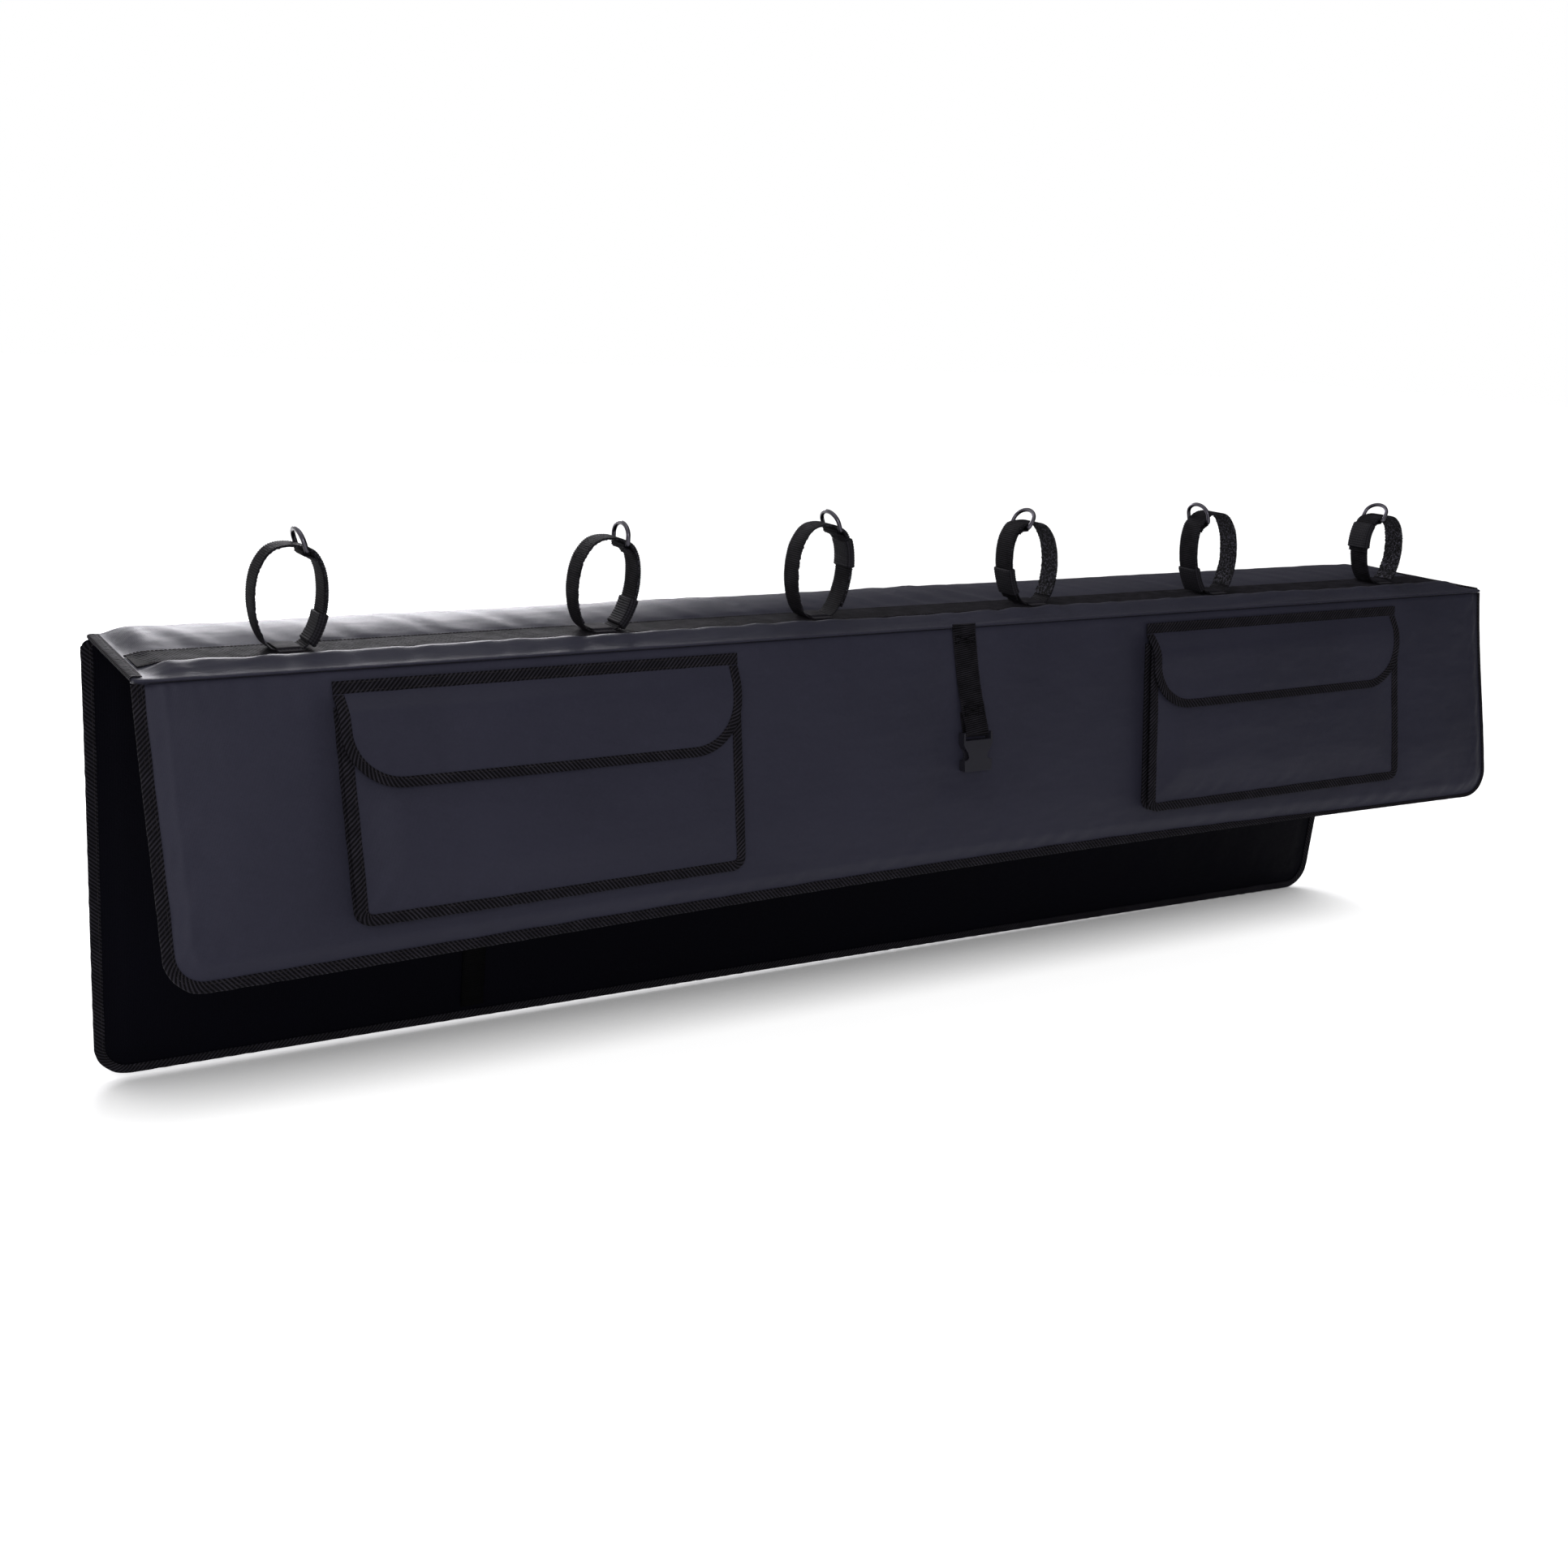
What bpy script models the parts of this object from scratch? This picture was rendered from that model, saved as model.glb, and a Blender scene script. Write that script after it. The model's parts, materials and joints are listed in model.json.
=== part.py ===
"""Tailgate bike pad: a padded saddle of three panels that hangs over the top edge of a tailgate.

Metres, +Z up, +X along the tailgate, -Y towards the front flap, which carries the pockets.
The origin is the middle of the flat underside of the top panel, where the pad sits on the tailgate.
Each panel is a cover, a foam and a lining, bound together at its free edges by folded tape.
"""

import math

import bmesh
import bpy
from mathutils import Matrix, Vector

# Panels
LENGTH = 1.578
TOP_DEPTH = 0.2008
TOP_PAD = 0.006
FLAP_PAD = 0.008
FRONT_DROP = 0.248
REAR_DROP = 0.449
REAR_EAR = 0.0055
REAR_EAR_RADIUS = 0.007
CORNER_RADIUS = 0.032
EDGE_RAMP = 0.0125
TOP_EDGE_RADIUS = 0.0022

# How far each flap stands out from plumb, in degrees: at its middle, its slope along X and its bow
FRONT_SPLAY = (5.5, -3.0, 9.0)
REAR_SPLAY = (7.2, -2.2, -0.5)
SPLAY_AT_ENDS = 0.746
SPLAY_BELLY = 0.398

# Cloth and tape thicknesses, and the clearances between pieces
COVER = 0.0010
LINING = 0.0008
TAPE = 0.0008
GAP = 0.0003
SEWN_GAP = 0.0006
TAPE_WIDTH = 0.015
PANEL_STEPS = 14
FRONT_ROWS = 5
REAR_ROWS = 7
CORNER_STEPS = 4

# Webbing strip along the top panel, and the six bike straps on it
STRIP_WIDTH = 0.050
STRIP_THICKNESS = 0.0015
STRIP_PLACE = -0.0354
STRAP_PLACES = (-0.6527, -0.3627, -0.1278, 0.1404, 0.3986, 0.6689)
STRAP_HEIGHTS = (0.088, 0.085, 0.091, 0.086, 0.090, 0.080)
STRAP_WIDTH = 0.025
STRAP_THICKNESS = 0.0016
STRAP_SPAN = 0.0595
# Shape of a strap loop, from its anchor round the ring side to its top: shares of half span and height
LOOP_SHAPE = ((0.0, 0.0), (0.36, 0.0), (0.66, 0.075), (0.90, 0.26), (1.0, 0.50), (0.90, 0.76), (0.54, 0.95), (0.0, 1.0))
LOOP_STEPS = 5
# For each strap: side of its ring (1 is +X), lean of its top, share of the loop where the ring sits,
# share where the keeper sits, share where the free tail ends
STRAP_FORMS = (
    (1, 0.004, 0.87, 0.27, 0.17),
    (1, 0.008, 0.85, 0.27, 0.17),
    (1, 0.004, 0.86, 0.64, 0.22),
    (-1, -0.008, 0.90, 0.36, 0.20),
    (-1, -0.008, 0.82, 0.27, 0.17),
    (-1, -0.004, 0.88, 0.65, 0.50),
)
FOLD_LENGTH = 0.012
FOLD_STEPS = 7
FOLD_WRAP = 0.17
KEEPER_LENGTH = 0.026
KEEPER_STEPS = 6
KEEPER_WALL = 0.0012
TAB_WIDTH = 0.021
TAB_FOOT = 0.007
TAB_THICKNESS = 0.0014

# Rings: a round wire bent to a D, whose straight bar lies in the fold of the strap
RING_WIRE_RADIUS = 0.0018
RING_HEIGHT = 0.0215
RING_SIDE_CLEARANCE = 0.0013
RING_LEG = 0.0085
RING_CORNER = 0.0028
RING_SEAT = 0.0004
RING_LEANS = (-16.0, 2.0, -20.0, 30.0, -12.0, 28.0)
RING_STEPS = 8
WIRE_SIDES = 8

# Pockets on the front flap
POCKET_PLACE = 0.442
POCKET_WIDTH = 0.383
POCKET_TOP = 0.008
POCKET_BOTTOM = 0.213
POCKET_DEPTH = 0.0135
POCKET_MOUTH = 0.036
POCKET_LIP = 0.006
POCKET_CLOTH = 0.0010
POCKET_TAPE_WIDTH = 0.012
POCKET_CORNER = 0.0125
BACK_TAPE_TOP = 0.030
LID_BOTTOM = 0.100
LID_ROOF_TOP = 0.021
LID_ROOF_BOTTOM = 0.034
LID_CORNER_WIDTH = 0.050
LID_CORNER_HEIGHT = 0.050
LID_CLOTH = 0.0008
PATCH_THICKNESS = 0.0008
PATCH_LENGTH = 0.200
PATCH_HEIGHT = 0.020
PATCH_TOP = 0.064
POCKET_STEPS = 5

# Tie straps with the two halves of a side-release buckle
TIE_WIDTH = 0.030
TIE_THICKNESS = 0.0015
TIE_TOP_PLACE = 0.0095
TIE_BOTTOM_PLACE = 0.0235
TIE_DROP = 0.107
TIE_FOLD = 0.028
TIE_RISE = 0.004
INNER_TIE_TOP = 0.030
BUCKLE_WIDTH = 0.0355
BUCKLE_THICKNESS = 0.0095
BUCKLE_BAR = 0.0013
BUCKLE_SEAT = 0.0004
BUCKLE_CLEARANCE = 0.0008
BUCKLE_SLOT_DROP = 0.0066
BUCKLE_DROP = 0.0385
BUCKLE_WALL = 0.0016
BUCKLE_WAIST = 0.0065
WINDOW_TOP = 0.010
WINDOW_BOTTOM = 0.0265
PRONG_LENGTH = 0.024
PRONG_WIDTH = 0.0042
PRONG_REACH = 0.0028
INNER_BASE_DROP = 0.0150
INNER_THICKNESS = 0.0050

# Flat strap on the inner face of the rear flap
REAR_STRAP_PLACE = -0.415
REAR_STRAP_WIDTH = 0.025
REAR_STRAP_THICKNESS = 0.0015
REAR_STRAP_TOP = 0.030

HALF_LENGTH = LENGTH / 2
HALF_DEPTH = TOP_DEPTH / 2
EDGE_STACK = TAPE + GAP + LINING + GAP + COVER
TAPE_STACK = EDGE_STACK + GAP + TAPE
STRIP_TOP = TOP_PAD + GAP + STRIP_THICKNESS
LAYER_STEP = STRAP_THICKNESS + GAP


def clear_scene():
    for thing in list(bpy.data.objects):
        bpy.data.objects.remove(thing, do_unlink=True)


def make_material(name, colour, roughness, metallic=0.0):
    material = bpy.data.materials.new(name)
    material.use_nodes = True
    shader = material.node_tree.nodes["Principled BSDF"]
    shader.inputs["Base Color"].default_value = (*colour, 1.0)
    shader.inputs["Roughness"].default_value = roughness
    shader.inputs["Metallic"].default_value = metallic
    material.diffuse_color = (*colour, 1.0)
    return material


def make_materials():
    return {
        "cover_cloth": make_material("cover_cloth", (0.024, 0.023, 0.031), 0.42),
        "lining_cloth": make_material("lining_cloth", (0.006, 0.006, 0.009), 0.75),
        "foam": make_material("foam", (0.30, 0.30, 0.31), 0.95),
        "binding_tape": make_material("binding_tape", (0.013, 0.011, 0.012), 0.70),
        "strap_webbing": make_material("strap_webbing", (0.016, 0.015, 0.018), 0.62),
        "keeper_band": make_material("keeper_band", (0.019, 0.018, 0.022), 0.66),
        "pile_patch": make_material("pile_patch", (0.012, 0.012, 0.016), 0.90),
        "ring_metal": make_material("ring_metal", (0.030, 0.028, 0.034), 0.30, 0.9),
        "buckle_plastic": make_material("buckle_plastic", (0.020, 0.019, 0.022), 0.50),
    }


def new_object(name, points, faces, material, smooth=False):
    """One closed body with its faces turned outwards."""
    mesh = bpy.data.meshes.new(name)
    mesh.from_pydata([tuple(p) for p in points], [], faces)
    body = bmesh.new()
    body.from_mesh(mesh)
    bmesh.ops.remove_doubles(body, verts=body.verts, dist=1e-6)
    bmesh.ops.recalc_face_normals(body, faces=body.faces)
    body.to_mesh(mesh)
    body.free()
    mesh.materials.append(material)
    if smooth:
        mesh.shade_smooth()
        mesh.set_sharp_from_angle(angle=math.radians(40))
    thing = bpy.data.objects.new(name, mesh)
    bpy.context.scene.collection.objects.link(thing)
    return thing


def slab(name, lower, upper, material):
    """Solid between two grids of points that have the same rows and columns."""
    rows = len(lower)
    columns = len(lower[0])
    size = rows * columns
    points = [p for row in lower for p in row] + [p for row in upper for p in row]
    faces = []
    for i in range(rows - 1):
        for j in range(columns - 1):
            a = i * columns + j
            b = a + 1
            c = a + columns + 1
            d = a + columns
            faces += [(a, b, c), (a, c, d)]
            faces += [(a + size, c + size, b + size), (a + size, d + size, c + size)]
    rim = [j for j in range(columns)]
    rim += [i * columns + columns - 1 for i in range(1, rows)]
    rim += [(rows - 1) * columns + j for j in range(columns - 2, -1, -1)]
    rim += [i * columns for i in range(rows - 2, 0, -1)]
    for k, a in enumerate(rim):
        b = rim[(k + 1) % len(rim)]
        faces += [(a, a + size, b + size), (a, b + size, b)]
    return new_object(name, points, faces, material)


def sweep(name, sections, material, closed=False, smooth=False):
    """Solid through a row of closed sections with the same number of points."""
    sides = len(sections[0])
    points = [p for section in sections for p in section]
    faces = []
    spans = len(sections) if closed else len(sections) - 1
    for i in range(spans):
        here = i * sides
        there = ((i + 1) % len(sections)) * sides
        for j in range(sides):
            k = (j + 1) % sides
            faces += [(here + j, here + k, there + k), (here + j, there + k, there + j)]
    if not closed:
        faces.append(tuple(range(sides - 1, -1, -1)))
        faces.append(tuple((len(sections) - 1) * sides + j for j in range(sides)))
    return new_object(name, points, faces, material, smooth)


def hollow_sweep(name, outer, inner, material):
    """Open-ended tube through matching outer and inner rings."""
    sides = len(outer[0])
    count = len(outer) * sides
    points = [p for ring in outer for p in ring] + [p for ring in inner for p in ring]
    faces = []
    for i in range(len(outer) - 1):
        for j in range(sides):
            k = (j + 1) % sides
            a, b = i * sides + j, i * sides + k
            c, d = a + sides, b + sides
            faces += [(a, b, d, c), (a + count, c + count, d + count, b + count)]
    for start in (0, (len(outer) - 1) * sides):
        for j in range(sides):
            k = (j + 1) % sides
            faces.append((start + j, start + k, start + k + count, start + j + count))
    return new_object(name, points, faces, material)


def lattice(name, lines, filled, place, material):
    """Solid made of the filled cells of a lattice of lines in three directions."""
    counts = [len(axis) - 1 for axis in lines]
    index = {}
    points = []

    def corner(key):
        if key not in index:
            index[key] = len(points)
            points.append(place(*(lines[a][key[a]] for a in range(3))))
        return index[key]

    def is_filled(cell):
        inside = all(0 <= cell[a] < counts[a] for a in range(3))
        return inside and filled(*cell)

    faces = []
    cells = [(i, j, k) for i in range(counts[0]) for j in range(counts[1]) for k in range(counts[2])]
    for cell in cells:
        if not is_filled(cell):
            continue
        for a in range(3):
            for step in (0, 1):
                other = list(cell)
                other[a] += 1 if step else -1
                if is_filled(tuple(other)):
                    continue
                b, c = (a + 1) % 3, (a + 2) % 3
                keys = []
                for db, dc in ((0, 0), (1, 0), (1, 1), (0, 1)):
                    key = list(cell)
                    key[a] += step
                    key[b] += db
                    key[c] += dc
                    keys.append(corner(tuple(key)))
                faces.append(tuple(keys if step else reversed(keys)))
    return new_object(name, points, faces, material)


def ease(share):
    """Smooth step from 0 to 1."""
    share = min(max(share, 0.0), 1.0)
    return share * share * (3 - 2 * share)


class Flap:
    """A panel that hangs from one long edge of the top panel and stands a little out from plumb.

    v runs down the flap from its seam, n runs out from its lining face.
    """

    def __init__(self, side, drop, half_length, splay, ear_radius, middle_rows):
        self.side = side
        self.middle_rows = middle_rows
        self.drop = drop
        self.half_length = half_length
        self.splay = splay
        self.ear_radius = ear_radius

    def angle(self, x, v):
        share = x / HALF_LENGTH
        middle, slope, bow = self.splay
        degrees = middle + slope * share + bow * share * share
        return math.radians(degrees) * (SPLAY_AT_ENDS + SPLAY_BELLY * math.sin(math.pi * v / self.drop))

    def point(self, x, v, n):
        steps = 6
        out = 0.0
        down = 0.0
        for i in range(steps):
            turn = self.angle(x, (i + 0.5) / steps * v)
            out += math.sin(turn) * v / steps
            down += math.cos(turn) * v / steps
        turn = self.angle(x, v)
        lift = n - FLAP_PAD
        reach = HALF_DEPTH + out + lift * math.cos(turn)
        return Vector((x, self.side * reach, -GAP - down + lift * math.sin(turn)))

    def inset(self, v):
        """How far the end edge steps in at the rounded corners."""
        total = 0.0
        low = v - (self.drop - CORNER_RADIUS)
        if low > 0:
            total += CORNER_RADIUS - math.sqrt(max(CORNER_RADIUS ** 2 - low ** 2, 0.0))
        high = self.ear_radius - v
        if high > 0:
            total += self.ear_radius - math.sqrt(max(self.ear_radius ** 2 - high ** 2, 0.0))
        return total

    def columns(self, start):
        """Edge distances and free places, left to right, from the given edge distance inwards."""
        edge = [d for d in edge_lines() if d >= start - 1e-9]
        inner = self.half_length - CORNER_RADIUS - edge_lines()[-1]
        free = [inner * (2 * i / PANEL_STEPS - 1) for i in range(1, PANEL_STEPS)]
        left = [(-1, d) for d in edge]
        right = [(1, d) for d in reversed(edge)]
        return left + [(0, x) for x in free] + right

    def rows(self, start):
        """Places down the flap, from its seam to the given distance above its lower edge."""
        arc = [CORNER_RADIUS * (1 - math.sin(math.radians(90 * k / CORNER_STEPS))) for k in range(CORNER_STEPS + 1)]
        low = sorted(set(arc) | set(edge_lines()), reverse=True)
        kept = [low[0]]
        for d in low[1:]:
            if d in edge_lines() or kept[-1] - d > 0.0012:
                if kept[-1] not in edge_lines() and kept[-1] - d < 0.0012:
                    kept.pop()
                kept.append(d)
        ear = [0.0, self.ear_radius * 0.3, self.ear_radius] if self.ear_radius else [0.0]
        top = self.drop - kept[0]
        middle = [top * i / self.middle_rows for i in range(1, self.middle_rows)]
        return ear + middle + [self.drop - d for d in kept if d >= start - 1e-9]

    def grid(self, start, height):
        """Points of one face of a layer. height gives n for a distance to the nearest bound edge."""
        grid = []
        for v in self.rows(start):
            half = self.half_length - self.inset(v)
            low = self.drop - v
            row = []
            for side, value in self.columns(start):
                x = side * (half - value) if side else value
                near = min(value if side else self.half_length, low)
                row.append(self.point(x, v, height(near)))
            grid.append(row)
        return grid

    def edge_path(self):
        """Points and inward directions along the bound edge, down one end, along the foot and up."""
        straight = [v for v in self.rows(0.0) if v <= self.drop - CORNER_RADIUS + 1e-9]
        path = []
        for v in straight:
            path.append((-(self.half_length - self.inset(v)), v, 1.0, 0.0))
        centre_x = self.half_length - CORNER_RADIUS
        centre_v = self.drop - CORNER_RADIUS
        for v in self.rows(0.0)[len(straight):]:
            turn = math.asin(min((v - centre_v) / CORNER_RADIUS, 1.0))
            x = -(centre_x + CORNER_RADIUS * math.cos(turn))
            path.append((x, v, math.cos(turn), -math.sin(turn)))
        path += [(x, self.drop, 0.0, -1.0) for side, x in self.columns(0.0) if side == 0]
        mirrored = [(-x, v, -ix, iv) for x, v, ix, iv in path if x <= -centre_x + 1e-6]
        return path + mirrored[::-1]

    def rows_between(self, top, bottom):
        """The two ends and every row of the flap between them."""
        inner = [v for v in self.rows(0.0) if top + 0.002 < v < bottom - 0.002]
        return [top, *inner, bottom]


def edge_lines():
    """Distances from a bound edge at which the layers start and stop being pressed together."""
    pressed = max(TAPE_WIDTH + 0.004, CORNER_RADIUS * (1 - math.sin(math.radians(90 / CORNER_STEPS))))
    return [0.0, pressed, pressed + EDGE_RAMP / 2, pressed + EDGE_RAMP]


def openness(near):
    """0 where the layers are pressed together at a bound edge, 1 where the pad is full."""
    lines = edge_lines()
    return ease((near - lines[1]) / (lines[3] - lines[1]))


def lining_floor(near):
    return (TAPE + GAP) * (1 - openness(near))


def cover_top(pad):
    return lambda near: EDGE_STACK + (pad - EDGE_STACK) * openness(near)


def build_flap_layers(flap, name, materials):
    top = cover_top(FLAP_PAD)
    lower = flap.grid(0.0, lining_floor)
    upper = flap.grid(0.0, lambda near: lining_floor(near) + LINING)
    slab(f"{name}_lining", lower, upper, materials["lining_cloth"])
    lower = flap.grid(0.0, lambda near: top(near) - COVER)
    upper = flap.grid(0.0, top)
    slab(f"{name}_cover", lower, upper, materials["cover_cloth"])
    start = edge_lines()[2]
    lower = flap.grid(start, lambda near: lining_floor(near) + LINING + GAP)
    upper = flap.grid(start, lambda near: top(near) - COVER - GAP)
    slab(f"{name}_foam", lower, upper, materials["foam"])


def fold_section(width, stack):
    """Folded tape across an edge: pairs of distance in from the edge and height."""
    back = -GAP - TAPE
    return (
        (width, 0.0), (back, 0.0), (back, stack), (width, stack),
        (width, stack - TAPE), (-GAP, stack - TAPE), (-GAP, TAPE), (width, TAPE),
    )


def build_flap_binding(flap, name, materials):
    sections = []
    for x, v, inward_x, inward_v in flap.edge_path():
        section = []
        for width, n in fold_section(TAPE_WIDTH, TAPE_STACK):
            section.append(flap.point(x + inward_x * width, v + inward_v * width, n))
        sections.append(section)
    sweep(f"{name}_binding", sections, materials["binding_tape"])


def top_columns(start):
    edge = [d for d in edge_lines() if d >= start - 1e-9]
    return [(-(HALF_LENGTH - d), d) for d in edge] + [(HALF_LENGTH - d, d) for d in reversed(edge)]


def top_cover_path(near, inward):
    """Section of the top cover, front to back, as it wraps the edges of the foam."""
    height = cover_top(TOP_PAD)(near)
    radius = TOP_EDGE_RADIUS
    front = [(-HALF_DEPTH + inward, 0.0)]
    for k in range(4):
        turn = math.radians(30 * k)
        reach = radius - inward
        front.append((-HALF_DEPTH + radius - reach * math.cos(turn), height - radius + reach * math.sin(turn)))
    return front + [(-y, z) for y, z in reversed(front)]


def build_top_panel(materials):
    full = [list(top_columns(0.0)), list(top_columns(edge_lines()[2]))]
    lining_half = HALF_DEPTH - FLAP_PAD - 2 * GAP
    lower = [[Vector((x, y, lining_floor(d))) for x, d in full[0]] for y in (-lining_half, lining_half)]
    upper = [[Vector((x, y, lining_floor(d) + LINING)) for x, d in full[0]] for y in (-lining_half, lining_half)]
    slab("top_lining", lower, upper, materials["lining_cloth"])

    outer = [top_cover_path(d, 0.0) for x, d in full[0]]
    inner = [top_cover_path(d, COVER) for x, d in full[0]]
    rows = range(len(outer[0]))
    upper = [[Vector((full[0][j][0], *outer[j][i])) for j in range(len(outer))] for i in rows]
    lower = [[Vector((full[0][j][0], *inner[j][i])) for j in range(len(inner))] for i in rows]
    slab("top_cover", lower, upper, materials["cover_cloth"])

    top = cover_top(TOP_PAD)
    side = HALF_DEPTH - COVER - GAP
    shoulder = HALF_DEPTH - TOP_EDGE_RADIUS
    rows = ((-side, True), (-shoulder, False), (shoulder, False), (side, True))
    lower = [[Vector((x, y, lining_floor(d) + LINING + GAP)) for x, d in full[1]] for y, low in rows]
    upper = []
    for y, low in rows:
        drop = TOP_EDGE_RADIUS if low else COVER + GAP
        upper.append([Vector((x, y, top(d) - drop)) for x, d in full[1]])
    slab("top_foam", lower, upper, materials["foam"])

    for side, name in ((-1, "left"), (1, "right")):
        sections = []
        for y in (-lining_half, lining_half):
            fold = fold_section(TAPE_WIDTH, TAPE_STACK)
            sections.append([Vector((side * (HALF_LENGTH - width), y, z)) for width, z in fold])
        sweep(f"top_binding_{name}", sections, materials["binding_tape"])


def build_anchor_strip(materials):
    lines = [TAPE_WIDTH + GAP] + [d for d in edge_lines() if d > TAPE_WIDTH + GAP]
    columns = [(-(HALF_LENGTH - d), d) for d in lines] + [(HALF_LENGTH - d, d) for d in reversed(lines)]
    top = cover_top(TOP_PAD)
    lower = []
    upper = []
    for side in (-1, 1):
        y = STRIP_PLACE + side * STRIP_WIDTH / 2
        lower.append([Vector((x, y, top(d) + GAP)) for x, d in columns])
        upper.append([Vector((x, y, top(d) + GAP + STRIP_THICKNESS)) for x, d in columns])
    slab("anchor_strip", lower, upper, materials["strap_webbing"])


def smooth_path(points, steps):
    """Points on a smooth curve through the given points."""
    result = []
    count = len(points)
    for i in range(count - 1):
        before = points[max(i - 1, 0)]
        start, end = points[i], points[i + 1]
        after = points[min(i + 2, count - 1)]
        for k in range(steps):
            t = k / steps
            result.append(0.5 * (
                2 * start + (end - before) * t
                + (2 * before - 5 * start + 4 * end - after) * t ** 2
                + (3 * start - before - 3 * end + after) * t ** 3
            ))
    result.append(points[-1])
    return result


def offset_path(points, distance):
    """Path moved sideways, to the left of its direction, with mitred corners."""
    moved = []
    for i, here in enumerate(points):
        ahead = (points[i + 1] - here).normalized() if i + 1 < len(points) else None
        behind = (here - points[i - 1]).normalized() if i > 0 else None
        first = behind or ahead
        second = ahead or behind
        left_a = Vector((-first.y, first.x))
        left_b = Vector((-second.y, second.x))
        middle = (left_a + left_b).normalized()
        moved.append(here + middle * distance / max(middle.dot(left_a), 0.5))
    return moved


def ribbon(name, path, thickness, to_space, material):
    """Flat strap along a plane path; to_space gives its two edge points for a plane point."""
    left = offset_path(path, thickness / 2)
    right = offset_path(path, -thickness / 2)
    sections = []
    for a, b in zip(left, right):
        near_a, far_a = to_space(a)
        near_b, far_b = to_space(b)
        sections.append((near_a, far_a, far_b, near_b))
    return sweep(name, sections, material)


class StrapLoop:
    """Middle line of one bike strap in the plane across it, with its anchor at the origin."""

    def __init__(self, ring_side, lean, height):
        base = STRAP_THICKNESS / 2 + GAP
        half = []
        for share_x, share_z in LOOP_SHAPE:
            half.append(Vector((share_x * STRAP_SPAN / 2, base + share_z * height)))
        other = [Vector((-p.x, p.y)) for p in half]
        ring = [other[1], *half, other[-2]]
        curve = smooth_path(ring, LOOP_STEPS)[LOOP_STEPS:-LOOP_STEPS]
        slant = lean / height
        self.right = [self.place(p, ring_side, slant, base) for p in curve]
        self.left = [self.place(Vector((-p.x, p.y)), ring_side, slant, base) for p in curve]
        self.turn = -ring_side

    @staticmethod
    def place(p, ring_side, slant, base):
        height = max(p.y, base)
        return Vector((ring_side * p.x + slant * (height - base), height))

    @staticmethod
    def along(path, share):
        """Point and direction at a share of the length of a path."""
        lengths = [(b - a).length for a, b in zip(path, path[1:])]
        left = share * sum(lengths)
        for i, length in enumerate(lengths):
            if left <= length or i == len(lengths) - 1:
                direction = (path[i + 1] - path[i]).normalized()
                return path[i] + direction * left, direction
            left -= length

    @staticmethod
    def stretch(path, first, last):
        """The points of a path between two shares of its length, ends included."""
        lengths = [(b - a).length for a, b in zip(path, path[1:])]
        total = sum(lengths)
        run = 0.0
        kept = [StrapLoop.along(path, first)[0]]
        for i, length in enumerate(lengths[:-1]):
            run += length
            if first * total + 0.0008 < run < last * total - 0.0008:
                kept.append(path[i + 1])
        kept.append(StrapLoop.along(path, last)[0])
        return kept

    def outwards(self, direction):
        """Normal that points out of the loop for a direction up the ring side."""
        return Vector((-direction.y, direction.x)) * self.turn


def fold_reach():
    """From the middle of the ring's bar to the middle of the webbing folded round it."""
    return RING_WIRE_RADIUS / math.cos(math.pi / WIRE_SIDES) + RING_SEAT + STRAP_THICKNESS / 2


def ring_seat(loop, ring_share):
    """Middle of the ring's bar, which lies in the fold on the inner side of the loop."""
    point, direction = loop.along(loop.right, ring_share)
    return point - loop.outwards(direction) * fold_reach(), direction


def strap_path(loop, ring_share, tail_share):
    """Path of the webbing: folded end, round the ring's bar, down, under the tab, up and over, tail."""
    reach = fold_reach()
    seat, direction = ring_seat(loop, ring_share)
    out = loop.outwards(direction)
    fold = []
    length = sum((b - a).length for a, b in zip(loop.right, loop.right[1:]))
    for share, drop in ((1.0, LAYER_STEP), (0.62, LAYER_STEP * 1.2)):
        place, course = loop.along(loop.right, ring_share - share * FOLD_LENGTH / length)
        fold.append(place - loop.outwards(course) * drop)
    for k in range(FOLD_STEPS + 1):
        turn = math.pi * ((1 + FOLD_WRAP) * k / FOLD_STEPS - FOLD_WRAP)
        fold.append(seat - (out * math.cos(turn) - direction * math.sin(turn)) * reach)
    down = loop.stretch(loop.right, 0.0, ring_share - 0.004)[::-1]
    over = []
    count = len(loop.left)
    for i, p in enumerate(loop.left[:-1]):
        if i == 0:
            continue
        course = (loop.left[i + 1] - loop.left[i - 1]).normalized()
        outward = Vector((-course.y, course.x)) * -loop.turn
        share = ease((i / (count - 1) - 0.55) / 0.35)
        over.append(p + outward * LAYER_STEP * share)
    path = fold + down[1:] + over
    tail = loop.stretch(loop.right, tail_share, 1.0)[::-1]
    for i, p in enumerate(tail):
        ahead = tail[min(i + 1, len(tail) - 1)]
        behind = tail[max(i - 1, 0)]
        course = (behind - ahead).normalized()
        path.append(p + loop.outwards(course) * LAYER_STEP)
    return path


def build_webbing(name, place, loop, form, materials):
    ring_share, tail_share = form[2], form[4]
    half = STRAP_WIDTH / 2
    path = strap_path(loop, ring_share, tail_share)

    def to_space(p):
        return Vector((p.x, -half, p.y)), Vector((p.x, half, p.y))

    thing = ribbon(f"{name}_webbing", path, STRAP_THICKNESS, to_space, materials["strap_webbing"])
    thing.location = place


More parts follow.
